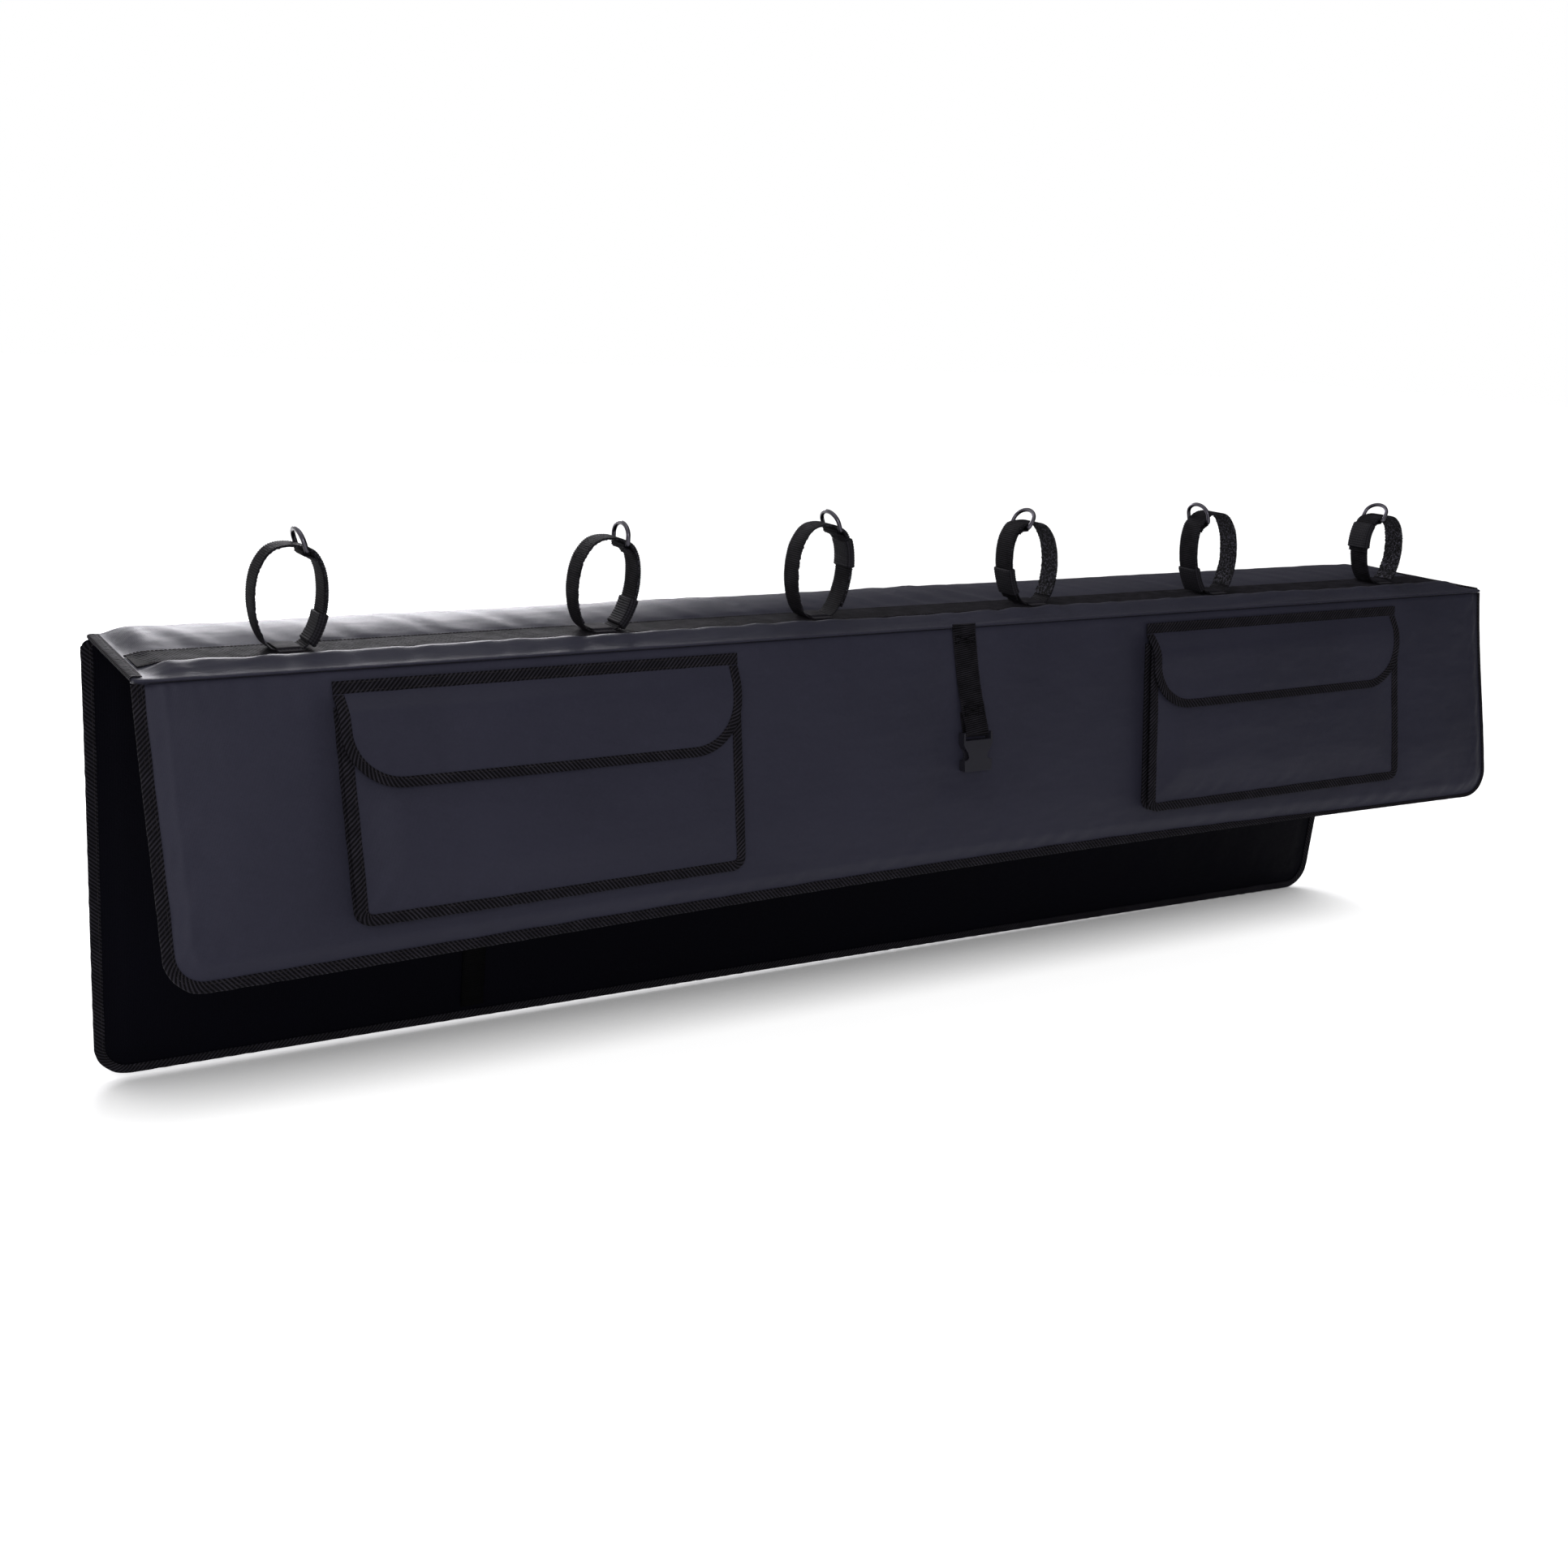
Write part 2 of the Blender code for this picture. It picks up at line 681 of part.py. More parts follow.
def build_keeper(name, place, loop, form, materials):
    """Elastic band round both layers of the strap."""
    length = sum((b - a).length for a, b in zip(loop.right, loop.right[1:]))
    half_share = KEEPER_LENGTH / 2 / length
    outer = []
    inner = []
    for k in range(KEEPER_STEPS + 1):
        share = form[3] + half_share * (2 * k / KEEPER_STEPS - 1)
        point, direction = loop.along(loop.right, share)
        out = loop.outwards(direction)
        for rings, wall in ((outer, KEEPER_WALL), (inner, 0.0)):
            low = -STRAP_THICKNESS / 2 - 2 * GAP - wall
            high = STRAP_THICKNESS / 2 + LAYER_STEP + 2 * GAP + wall
            half = STRAP_WIDTH / 2 + GAP + wall
            ring = []
            for n, y in ((low, -half), (high, -half), (high, half), (low, half)):
                spot = point + out * n
                ring.append(Vector((spot.x, y, spot.y)))
            rings.append(ring)
    thing = hollow_sweep(f"{name}_keeper", outer, inner, materials["keeper_band"])
    thing.location = place


def build_tab(name, place, materials):
    """Short piece of webbing sewn down over the strap, across its width."""
    low = TAB_THICKNESS / 2 + GAP
    high = STRAP_THICKNESS + 2 * GAP + TAB_THICKNESS / 2
    knee = STRAP_WIDTH / 2 + GAP + TAB_THICKNESS
    front = [Vector((-knee - TAB_FOOT, low)), Vector((-knee, low)), Vector((-knee + TAB_THICKNESS / 2, high))]
    path = front + [Vector((-p.x, p.y)) for p in reversed(front)]
    half = TAB_WIDTH / 2

    def to_space(p):
        return Vector((-half, p.x, p.y)), Vector((half, p.x, p.y))

    thing = ribbon(f"{name}_tab", path, TAB_THICKNESS, to_space, materials["strap_webbing"])
    thing.location = place


def ring_path():
    """Middle line of the ring wire: straight bar through the origin, two corners and the arch."""
    side = STRAP_WIDTH / 2 + RING_SIDE_CLEARANCE + RING_WIRE_RADIUS
    rise = RING_HEIGHT - RING_WIRE_RADIUS
    path = []
    for k in range(3):
        turn = math.radians(45 * k)
        path.append(Vector((side - RING_CORNER * (1 - math.sin(turn)), RING_CORNER * (1 - math.cos(turn)))))
    for k in range(RING_STEPS + 1):
        turn = math.pi * k / RING_STEPS
        path.append(Vector((side * math.cos(turn), RING_LEG + (rise - RING_LEG) * math.sin(turn))))
    return path + [Vector((-p.x, p.y)) for p in reversed(path[:3])]


def build_ring(name, place, loop, form, lean, materials):
    seat, direction = ring_seat(loop, form[2])
    path = ring_path()
    sections = []
    for i, here in enumerate(path):
        ahead = (path[(i + 1) % len(path)] - here).normalized()
        behind = (here - path[i - 1]).normalized()
        course = (ahead + behind).normalized()
        across = Vector((-course.y, course.x))
        widen = 1 / max(course.dot(ahead), 0.7)
        section = []
        for k in range(WIRE_SIDES):
            turn = 2 * math.pi * (k + 0.5) / WIRE_SIDES
            spot = here + across * RING_WIRE_RADIUS * math.cos(turn) * widen
            section.append(Vector((RING_WIRE_RADIUS * math.sin(turn), spot.x, spot.y)))
        sections.append(section)
    thing = sweep(f"{name}_ring", sections, materials["ring_metal"], closed=True, smooth=True)
    thing.location = place + Vector((seat.x, 0.0, seat.y))
    thing.rotation_euler = (0.0, math.radians(lean), 0.0)


def build_straps(materials):
    settings = zip(STRAP_PLACES, STRAP_HEIGHTS, STRAP_FORMS, RING_LEANS)
    for i, (x, height, form, lean) in enumerate(settings):
        name = f"strap_{i + 1}"
        place = Vector((x, STRIP_PLACE, STRIP_TOP))
        loop = StrapLoop(form[0], form[1], height)
        build_webbing(name, place, loop, form, materials)
        build_ring(name, place, loop, form, lean, materials)
        build_keeper(name, place, loop, form, materials)
        build_tab(name, place, materials)


class LidPath:
    """Section of a pocket lid, down from its seam, out over the pocket's mouth and down its front."""

    def __init__(self):
        seam = FLAP_PAD + SEWN_GAP
        front = FLAP_PAD + POCKET_DEPTH + SEWN_GAP + 2 * (PATCH_THICKNESS + GAP) + GAP
        knee = (LID_ROOF_BOTTOM + LID_BOTTOM) / 2
        corners = (
            (POCKET_TOP + TAPE, seam), (LID_ROOF_TOP - 0.002, seam + 0.0002),
            ((LID_ROOF_TOP + LID_ROOF_BOTTOM) / 2, (seam + front) / 2),
            (LID_ROOF_BOTTOM, front), (knee, front), (LID_BOTTOM, front),
        )
        self.points = [Vector(c) for c in corners]
        self.lengths = [(b - a).length for a, b in zip(self.points, self.points[1:])]
        self.total = sum(self.lengths)

    def place(self, s):
        left = min(max(s, 0.0), self.total)
        for i, length in enumerate(self.lengths):
            if left <= length + 1e-9 or i == len(self.lengths) - 1:
                share = left / length
                return self.points[i].lerp(self.points[i + 1], share), i
            left -= length

    def point(self, s, m):
        """Point at length s and at height m above the lid's inner face."""
        spot, i = self.place(s)
        course = (self.points[i + 1] - self.points[i]).normalized()
        share = (s - sum(self.lengths[:i])) / self.lengths[i]
        if share < 1e-6 and i > 0:
            other = (self.points[i] - self.points[i - 1]).normalized()
        elif share > 1 - 1e-6 and i + 2 < len(self.points):
            other = (self.points[i + 2] - self.points[i + 1]).normalized()
        else:
            other = course
        middle = (course + other).normalized()
        normal = Vector((-middle.y, middle.x))
        return spot + normal * m / max(middle.dot(course), 0.5)

    def stations(self):
        """Lengths at which the section bends or the outline is drawn."""
        bends = [sum(self.lengths[:i]) for i in range(len(self.points))]
        arc = []
        for k in range(1, CORNER_STEPS):
            turn = math.radians(90 * k / CORNER_STEPS)
            arc.append(self.total - LID_CORNER_HEIGHT * (1 - math.sin(turn)))
        start = self.total - LID_CORNER_HEIGHT
        return sorted(b for b in bends if b < start + 1e-9) + [start] * (start not in bends) + arc + [self.total]

    def inset(self, s):
        low = (s - (self.total - LID_CORNER_HEIGHT)) / LID_CORNER_HEIGHT
        if low <= 0:
            return 0.0
        return LID_CORNER_WIDTH * (1 - math.sqrt(max(1 - low * low, 0.0)))


def lid_columns(half):
    """Shares of the lid's half width at which its columns stand."""
    return [-1 + 2 * i / POCKET_STEPS for i in range(POCKET_STEPS + 1)]


def build_lid(name, centre, flap, materials):
    lid = LidPath()
    half = POCKET_WIDTH / 2 - GAP - TAPE

    def place(x, s, m):
        spot = lid.point(s, m)
        return flap.point(x, spot.x, spot.y)

    grids = []
    for height in (0.0, LID_CLOTH):
        grid = []
        for s in lid.stations():
            width = half - lid.inset(s)
            grid.append([place(centre + share * width, s, height) for share in lid_columns(half)])
        grids.append(grid)
    slab(f"{name}_lid", grids[0], grids[1], materials["cover_cloth"])

    fold = [(w, n - TAPE - GAP) for w, n in fold_section(POCKET_TAPE_WIDTH, LID_CLOTH + 2 * (TAPE + GAP))]
    start = POCKET_TOP + POCKET_TAPE_WIDTH + SEWN_GAP
    edge = []
    first = [start - POCKET_TOP] + [s for s in lid.stations() if s > start - POCKET_TOP + 0.001]
    arc_start = lid.total - LID_CORNER_HEIGHT
    for s in first:
        if s <= arc_start + 1e-9:
            edge.append((-half, s, 1.0, 0.0))
    for k in range(1, CORNER_STEPS + 1):
        turn = math.radians(90 * k / CORNER_STEPS)
        x = -(half - LID_CORNER_WIDTH) - LID_CORNER_WIDTH * math.cos(turn)
        s = arc_start + LID_CORNER_HEIGHT * math.sin(turn)
        inward = Vector((math.cos(turn) * LID_CORNER_HEIGHT, -math.sin(turn) * LID_CORNER_WIDTH)).normalized()
        edge.append((x, s, inward.x, inward.y))
    flat = half - LID_CORNER_WIDTH
    bottom = [(flat * (2 * i / POCKET_STEPS - 1), lid.total, 0.0, -1.0) for i in range(1, POCKET_STEPS)]
    edge = edge + bottom + [(-x, s, -ix, iv) for x, s, ix, iv in reversed(edge)]
    sections = []
    for x, s, inward_x, inward_s in edge:
        section = []
        for width, m in fold:
            along = s + inward_s * width
            over = max(along - lid.total, 0.0)
            spot = lid.point(min(along, lid.total), m)
            section.append(flap.point(centre + x + inward_x * width, spot.x + over, spot.y))
        sections.append(section)
    sweep(f"{name}_lid_binding", sections, materials["binding_tape"])


class PocketPlan:
    """Outline and dividing lines of a pocket's cloth, which its tapes follow."""

    def __init__(self, flap, centre):
        self.flap = flap
        self.centre = centre
        self.half = POCKET_WIDTH / 2 - GAP - TAPE
        self.bottom = POCKET_BOTTOM - GAP - TAPE
        self.wall = POCKET_LIP + POCKET_CLOTH
        inner = self.half - POCKET_CORNER
        free = [inner * (2 * i / POCKET_STEPS - 1) for i in range(POCKET_STEPS + 1)]
        left = [-self.half, -self.half + POCKET_LIP, -self.half + self.wall]
        self.lines_x = left + free + [-x for x in reversed(left)]

    def lines_v(self, top):
        rows = self.flap.rows_between(top, self.bottom - POCKET_CORNER)
        return rows + [self.bottom - self.wall, self.bottom - POCKET_LIP, self.bottom]

    def round_off(self, x, v):
        """Move a point of the square plan onto the plan with rounded lower corners."""
        over_x = abs(x) - (self.half - POCKET_CORNER)
        over_v = v - (self.bottom - POCKET_CORNER)
        if over_x > 0 and over_v > 0:
            shrink = max(over_x, over_v) / math.hypot(over_x, over_v)
            x = math.copysign(self.half - POCKET_CORNER + over_x * shrink, x)
            v = self.bottom - POCKET_CORNER + over_v * shrink
        return x, v

    def edge(self, top):
        """Points of the edge, down the left side, along the foot and up, with inward directions."""
        square = [(-self.half, v) for v in self.lines_v(top)]
        square += [(x, self.bottom) for x in self.lines_x[1:-1]]
        square += [(self.half, v) for v in reversed(self.lines_v(top))]
        path = []
        for raw_x, raw_v in square:
            x, v = self.round_off(raw_x, raw_v)
            inward = Vector((max(abs(x) - (self.half - POCKET_CORNER), 0.0), 0.0))
            inward.y = max(v - (self.bottom - POCKET_CORNER), 0.0)
            inward.normalize()
            path.append((x, v, -math.copysign(inward.x, x), -inward.y))
        return path


def build_pocket_tape(name, plan, top, floor, stack, face_width, materials):
    """Folded tape round three sides of a pocket's cloth; its outer leg may be wider than its inner."""
    sections = []
    for x, v, inward_x, inward_v in plan.edge(top):
        turned = abs(inward_x) > 0.01 and abs(inward_v) > 0.01
        section = []
        for width, n in fold_section(POCKET_LIP - GAP, stack):
            inward = width
            if width > 0 and n > stack / 2:
                inward = min(face_width, POCKET_CORNER - GAP) if turned else face_width
            section.append(plan.flap.point(plan.centre + x + inward_x * inward, v + inward_v * inward, floor + n))
        sections.append(section)
    sweep(name, sections, materials["binding_tape"])


def build_pouch(name, centre, flap, materials):
    """Bellows pocket: a front sheet and a wall on three sides, with lips at the wall's front and back."""
    plan = PocketPlan(flap, centre)
    back = FLAP_PAD + SEWN_GAP + TAPE + GAP
    front = FLAP_PAD + POCKET_DEPTH - TAPE - GAP
    lines_x = plan.lines_x
    lines_v = plan.lines_v(POCKET_MOUTH)
    lines_n = [back, back + POCKET_CLOTH, front - POCKET_CLOTH, front]
    last_x = len(lines_x) - 2
    last_v = len(lines_v) - 2

    def filled(i, j, k):
        if k == 2:
            return True
        if k == 0:
            return i <= 1 or i >= last_x - 1 or j >= last_v - 1
        in_side = i in (1, last_x - 1) and j <= last_v - 1
        in_foot = j == last_v - 1 and 1 <= i <= last_x - 1
        return in_side or in_foot

    def place(x, v, n):
        x, v = plan.round_off(x, v)
        return flap.point(centre + x, v, n)

    lattice(f"{name}_pouch", (lines_x, lines_v, lines_n), filled, place, materials["cover_cloth"])
    stack = 2 * (TAPE + GAP) + POCKET_CLOTH
    floor = front - POCKET_CLOTH - GAP - TAPE
    build_pocket_tape(f"{name}_front_binding", plan, POCKET_MOUTH, floor, stack, POCKET_TAPE_WIDTH, materials)
    floor = FLAP_PAD + SEWN_GAP
    build_pocket_tape(f"{name}_back_binding", plan, BACK_TAPE_TOP, floor, stack, POCKET_LIP - GAP, materials)


def flat_piece(name, flap, centre, half, top, bottom, floor, thickness, material):
    """Rectangle of cloth that lies along the flap."""
    columns = [centre + half * (2 * i / POCKET_STEPS - 1) for i in range(POCKET_STEPS + 1)]
    rows = flap.rows_between(top, bottom)
    lower = [[flap.point(x, v, floor) for x in columns] for v in rows]
    upper = [[flap.point(x, v, floor + thickness) for x in columns] for v in rows]
    return slab(name, lower, upper, material)


def build_pockets(flap, materials):
    for side, word in ((-1, "left"), (1, "right")):
        name = f"pocket_{word}"
        centre = side * POCKET_PLACE
        build_pouch(name, centre, flap, materials)
        build_lid(name, centre, flap, materials)
        tape_floor = FLAP_PAD + SEWN_GAP + LID_CLOTH + GAP + 0.0002
        flat_piece(
            f"{name}_top_binding", flap, centre, POCKET_WIDTH / 2, POCKET_TOP, POCKET_TOP + POCKET_TAPE_WIDTH - 0.0012,
            tape_floor, TAPE, materials["binding_tape"],
        )
        patch = FLAP_PAD + POCKET_DEPTH - TAPE - GAP + SEWN_GAP
        flat_piece(
            f"{name}_hook_patch", flap, centre, PATCH_LENGTH / 2, PATCH_TOP, PATCH_TOP + PATCH_HEIGHT,
            patch, PATCH_THICKNESS, materials["pile_patch"],
        )
        lid_face = FLAP_PAD + POCKET_DEPTH + SEWN_GAP + 2 * (PATCH_THICKNESS + GAP) + GAP
        flat_piece(
            f"{name}_loop_patch", flap, centre, PATCH_LENGTH / 2, PATCH_TOP, PATCH_TOP + PATCH_HEIGHT,
            lid_face - GAP - PATCH_THICKNESS, PATCH_THICKNESS, materials["pile_patch"],
        )


def tie_centre(v):
    """Where the middle of a tie strap runs, since it hangs a little askew."""
    return TIE_TOP_PLACE + (TIE_BOTTOM_PLACE - TIE_TOP_PLACE) * min(max(v / TIE_DROP, 0.0), 1.0)


def tie_path(face, away, start, buckle_thickness):
    """Path in v and n: down to the buckle's bar, round it and back up on the flap's side."""
    turn_radius = BUCKLE_BAR * math.sqrt(2) + BUCKLE_SEAT + TIE_THICKNESS / 2
    near = SEWN_GAP + TIE_THICKNESS / 2
    bar = max(buckle_thickness / 2 + BUCKLE_CLEARANCE, near + turn_radius)
    fold = TIE_DROP - TIE_FOLD
    upper = near + TIE_THICKNESS + GAP
    path = [(start, near), (start + 0.35 * (fold - start), near), (fold - 0.012, near), (fold, upper)]
    path += [(TIE_DROP - 0.006, bar + turn_radius)]
    for k in range(FOLD_STEPS + 1):
        turn = math.pi * k / FOLD_STEPS
        path.append((TIE_DROP + turn_radius * math.sin(turn), bar + turn_radius * math.cos(turn)))
    path += [(TIE_DROP - 0.006, max(bar - turn_radius - 0.0004, near)), (fold + 0.005, near)]
    return [Vector((v, face + away * n)) for v, n in path], face + away * bar


def build_tie(name, flap, face, away, start, buckle_thickness, materials):
    path, bar = tie_path(face, away, start, buckle_thickness)
    half = TIE_WIDTH / 2

    def to_space(p):
        middle = tie_centre(p.x)
        return flap.point(middle - half, p.x, p.y), flap.point(middle + half, p.x, p.y)

    ribbon(f"{name}_webbing", path, TIE_THICKNESS, to_space, materials["strap_webbing"])
    axis = flap.point(TIE_BOTTOM_PLACE, TIE_DROP, bar)
    below = flap.point(TIE_BOTTOM_PLACE, TIE_DROP + BUCKLE_DROP, bar)
    lean = math.atan2(below.y - axis.y, axis.z - below.z)
    return axis, lean


def extrude_outline(name, outline, thickness, material):
    """Plate with the given outline in X and Z, centred on Y = 0."""
    count = len(outline)
    points = [Vector((x, y, z)) for y in (-thickness / 2, thickness / 2) for x, z in outline]
    faces = [tuple(range(count)), tuple(range(2 * count - 1, count - 1, -1))]
    for i in range(count):
        j = (i + 1) % count
        faces.append((i, i + count, j + count, j))
    return new_object(name, points, faces, material)


def box_points(low, high):
    return [Vector((x, y, z)) for z in (low[2], high[2]) for y in (low[1], high[1]) for x in (low[0], high[0])]


def cut_box(thing, low, high):
    """Take a box out of a piece."""
    faces = [(0, 2, 3, 1), (4, 5, 7, 6), (0, 1, 5, 4), (2, 6, 7, 3), (0, 4, 6, 2), (1, 3, 7, 5)]
    cutter = new_object("cutter", box_points(low, high), faces, thing.data.materials[0])
    cutter.hide_render = True
    cutter.display_type = "WIRE"
    cut = thing.modifiers.new("cut", "BOOLEAN")
    cut.operation = "DIFFERENCE"
    cut.object = cutter
    bpy.context.view_layer.update()
    shaped = bpy.data.meshes.new_from_object(thing.evaluated_get(bpy.context.evaluated_depsgraph_get()))
    thing.modifiers.clear()
    thing.data = shaped
    bpy.data.objects.remove(cutter, do_unlink=True)


def cut_bar(thing, thickness):
    """Slot for the webbing, and a bar slim enough for it to lie flush."""
    half = TIE_WIDTH / 2 + 0.0006
    cut_box(thing, (-half, -thickness, -BUCKLE_SLOT_DROP), (half, thickness, -BUCKLE_BAR))
    for side in (-1, 1):
        near, far = sorted((side * BUCKLE_BAR, side * thickness))
        cut_box(thing, (-half, near, -BUCKLE_SLOT_DROP), (half, far, thickness))


def build_tie_buckle(axis, lean, materials):
    """Female half: a flat socket, open at its foot, with a press window in each side."""
    half = BUCKLE_WIDTH / 2
    window = []
    for k in range(6):
        share = k / 5
        depth = BUCKLE_WAIST * math.sin(math.pi * 0.5 * share) ** 1.5
        window.append((half - depth, -WINDOW_TOP - (WINDOW_BOTTOM - 0.002 - WINDOW_TOP) * share))
    right = [(half - 0.001, BUCKLE_BAR), (half, BUCKLE_BAR - 0.001), *window]
    right += [(half - BUCKLE_WAIST * 0.7, -WINDOW_BOTTOM), (half - 0.0008, -WINDOW_BOTTOM - 0.0006)]
    right += [(half - 0.0012, -BUCKLE_DROP + 0.001), (half - 0.0022, -BUCKLE_DROP)]
    outline = right + [(-x, z) for x, z in reversed(right)]
    thing = extrude_outline("tie_buckle", outline, BUCKLE_THICKNESS, materials["buckle_plastic"])
    cut_bar(thing, BUCKLE_THICKNESS)
    socket_half = half - BUCKLE_WALL - 0.0012
    socket_deep = BUCKLE_THICKNESS / 2 - BUCKLE_WALL
    ceiling = -BUCKLE_SLOT_DROP - BUCKLE_WALL
    cut_box(thing, (-socket_half, -socket_deep, -BUCKLE_DROP - 0.002), (socket_half, socket_deep, ceiling))
    thing.location = axis
    thing.rotation_euler = (lean, 0.0, 0.0)


def build_inner_buckle(axis, lean, materials):
    """Male half: a slotted base with a middle guide and two sprung prongs."""
    half = BUCKLE_WIDTH / 2
    base = -INNER_BASE_DROP
    tip = base - PRONG_LENGTH
    reach = half - BUCKLE_WALL - 0.0012 - GAP
    right = [(half - 0.001, BUCKLE_BAR), (half, BUCKLE_BAR - 0.001), (half, base)]
    right += [(reach - PRONG_REACH / 2, base), (reach - PRONG_REACH, base - 0.35 * PRONG_LENGTH)]
    right += [(reach - PRONG_REACH / 2, base - 0.55 * PRONG_LENGTH), (reach, base - 0.60 * PRONG_LENGTH)]
    right += [(reach - 0.0005, base - 0.80 * PRONG_LENGTH), (reach - PRONG_WIDTH * 0.6, tip)]
    right += [(reach - PRONG_WIDTH, tip), (reach - PRONG_WIDTH - PRONG_REACH / 2, base - 0.3 * PRONG_LENGTH)]
    right += [(reach - PRONG_WIDTH - PRONG_REACH / 2, base)]
    right += [(PRONG_WIDTH / 2, base), (PRONG_WIDTH / 2, base - 0.75 * PRONG_LENGTH)]
    outline = right + [(-x, z) for x, z in reversed(right)]
    thing = extrude_outline("inner_buckle", outline, INNER_THICKNESS, materials["buckle_plastic"])
    cut_bar(thing, INNER_THICKNESS)
    thing.location = axis
    thing.rotation_euler = (lean, 0.0, 0.0)


def build_ties(flap, materials):
    axis, lean = build_tie("tie", flap, FLAP_PAD, 1, -TIE_RISE, BUCKLE_THICKNESS, materials)
    build_tie_buckle(axis, lean, materials)
    axis, lean = build_tie("inner", flap, 0.0, -1, INNER_TIE_TOP, INNER_THICKNESS, materials)
    build_inner_buckle(axis, lean, materials)


def build_rear_strap(flap, materials):
    half = REAR_STRAP_WIDTH / 2
    bottom = flap.drop - TAPE_WIDTH - SEWN_GAP
    rows = flap.rows_between(REAR_STRAP_TOP, bottom)
    columns = (REAR_STRAP_PLACE - half, REAR_STRAP_PLACE + half)
    low = -SEWN_GAP - REAR_STRAP_THICKNESS
    lower = [[flap.point(x, v, low) for x in columns] for v in rows]
    upper = [[flap.point(x, v, -SEWN_GAP) for x in columns] for v in rows]
    slab("rear_strap", lower, upper, materials["strap_webbing"])


def main():
    clear_scene()
    materials = make_materials()
    front = Flap(-1, FRONT_DROP, HALF_LENGTH, FRONT_SPLAY, 0.0, FRONT_ROWS)
    rear = Flap(1, REAR_DROP, HALF_LENGTH + REAR_EAR, REAR_SPLAY, REAR_EAR_RADIUS, REAR_ROWS)
    for flap, name in ((front, "front"), (rear, "rear")):
        build_flap_layers(flap, name, materials)
        build_flap_binding(flap, name, materials)
    build_top_panel(materials)
    build_anchor_strip(materials)
    build_straps(materials)
    build_pockets(front, materials)
    build_ties(front, materials)
    build_rear_strap(rear, materials)


main()
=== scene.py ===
"""Looks of a tailgate bike pad: padded panels, tapes, straps, rings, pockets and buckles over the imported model.

Metres, +Z up, +X along the tailgate, -Y towards the front flap. Each piece stands where its CAD node is.
"""

import json
import math

import bmesh
import bpy
import numpy as np
from bpy.props import FloatProperty, FloatVectorProperty, PointerProperty
from mathutils import Matrix, Vector


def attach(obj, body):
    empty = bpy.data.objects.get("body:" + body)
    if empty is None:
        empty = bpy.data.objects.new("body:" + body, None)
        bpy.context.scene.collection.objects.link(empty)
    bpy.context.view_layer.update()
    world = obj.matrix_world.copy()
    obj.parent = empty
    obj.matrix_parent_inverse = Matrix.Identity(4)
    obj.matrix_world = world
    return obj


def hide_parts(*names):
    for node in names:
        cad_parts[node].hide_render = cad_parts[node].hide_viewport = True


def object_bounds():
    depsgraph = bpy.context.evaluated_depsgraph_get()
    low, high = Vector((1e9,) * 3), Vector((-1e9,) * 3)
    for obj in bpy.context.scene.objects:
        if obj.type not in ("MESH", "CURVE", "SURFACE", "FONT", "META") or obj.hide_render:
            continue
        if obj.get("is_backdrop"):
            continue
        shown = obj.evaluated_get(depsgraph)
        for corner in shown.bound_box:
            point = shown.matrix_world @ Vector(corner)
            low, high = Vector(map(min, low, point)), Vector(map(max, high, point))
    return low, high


bl_info = {
    "name": "Tailgate Bike Pad",
    "version": (1, 0, 0),
    "blender": (4, 5, 0),
    "location": "3D View > Sidebar > Bike Pad",
    "description": "Dresses the packed frame of a tailgate bike pad",
    "category": "Object",
}

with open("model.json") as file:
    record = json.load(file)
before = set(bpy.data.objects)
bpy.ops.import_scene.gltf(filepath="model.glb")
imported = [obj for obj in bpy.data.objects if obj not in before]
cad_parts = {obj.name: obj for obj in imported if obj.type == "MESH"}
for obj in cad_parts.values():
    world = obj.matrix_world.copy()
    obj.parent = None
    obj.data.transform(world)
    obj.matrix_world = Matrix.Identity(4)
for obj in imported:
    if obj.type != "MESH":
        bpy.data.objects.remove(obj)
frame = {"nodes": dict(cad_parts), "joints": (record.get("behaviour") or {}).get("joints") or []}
CAD_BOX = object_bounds()

# Panels, as in the CAD source
HALF_LENGTH = 0.789
HALF_DEPTH = 0.1004
TOP_PAD = 0.006
FLAP_PAD = 0.008
FRONT_DROP = 0.248
REAR_DROP = 0.449
REAR_EAR = 0.0055
REAR_EAR_RADIUS = 0.007
CORNER_RADIUS = 0.032
FRONT_SPLAY = (5.5, -3.0, 9.0)
REAR_SPLAY = (7.2, -2.2, -0.5)
SPLAY_AT_ENDS = 0.746
SPLAY_BELLY = 0.398
GAP = 0.0003
LINING = 0.0008
SEWN_GAP = 0.0006
TAPE = 0.0008
TAPE_WIDTH = 0.015
EDGE_STACK = 0.0032
TAPE_STACK = 0.0043

# Webbing strip and bike straps, as in the CAD source
STRIP_WIDTH = 0.050
STRIP_THICKNESS = 0.0015
STRIP_PLACE = -0.0354
STRIP_TOP = TOP_PAD + GAP + STRIP_THICKNESS
STRAP_PLACES = (-0.6527, -0.3627, -0.1278, 0.1404, 0.3986, 0.6689)
STRAP_HEIGHTS = (0.088, 0.085, 0.091, 0.086, 0.090, 0.080)
STRAP_WIDTH = 0.025
STRAP_THICKNESS = 0.0016
STRAP_SPAN = 0.0595
LAYER_STEP = STRAP_THICKNESS + GAP
# Half of a loop, in halves of its span and in its height
LOOP_SHAPE = (
    (0.0, 0.0), (0.36, 0.0), (0.66, 0.075), (0.90, 0.26),
    (1.0, 0.50), (0.90, 0.76), (0.54, 0.95), (0.0, 1.0),
)
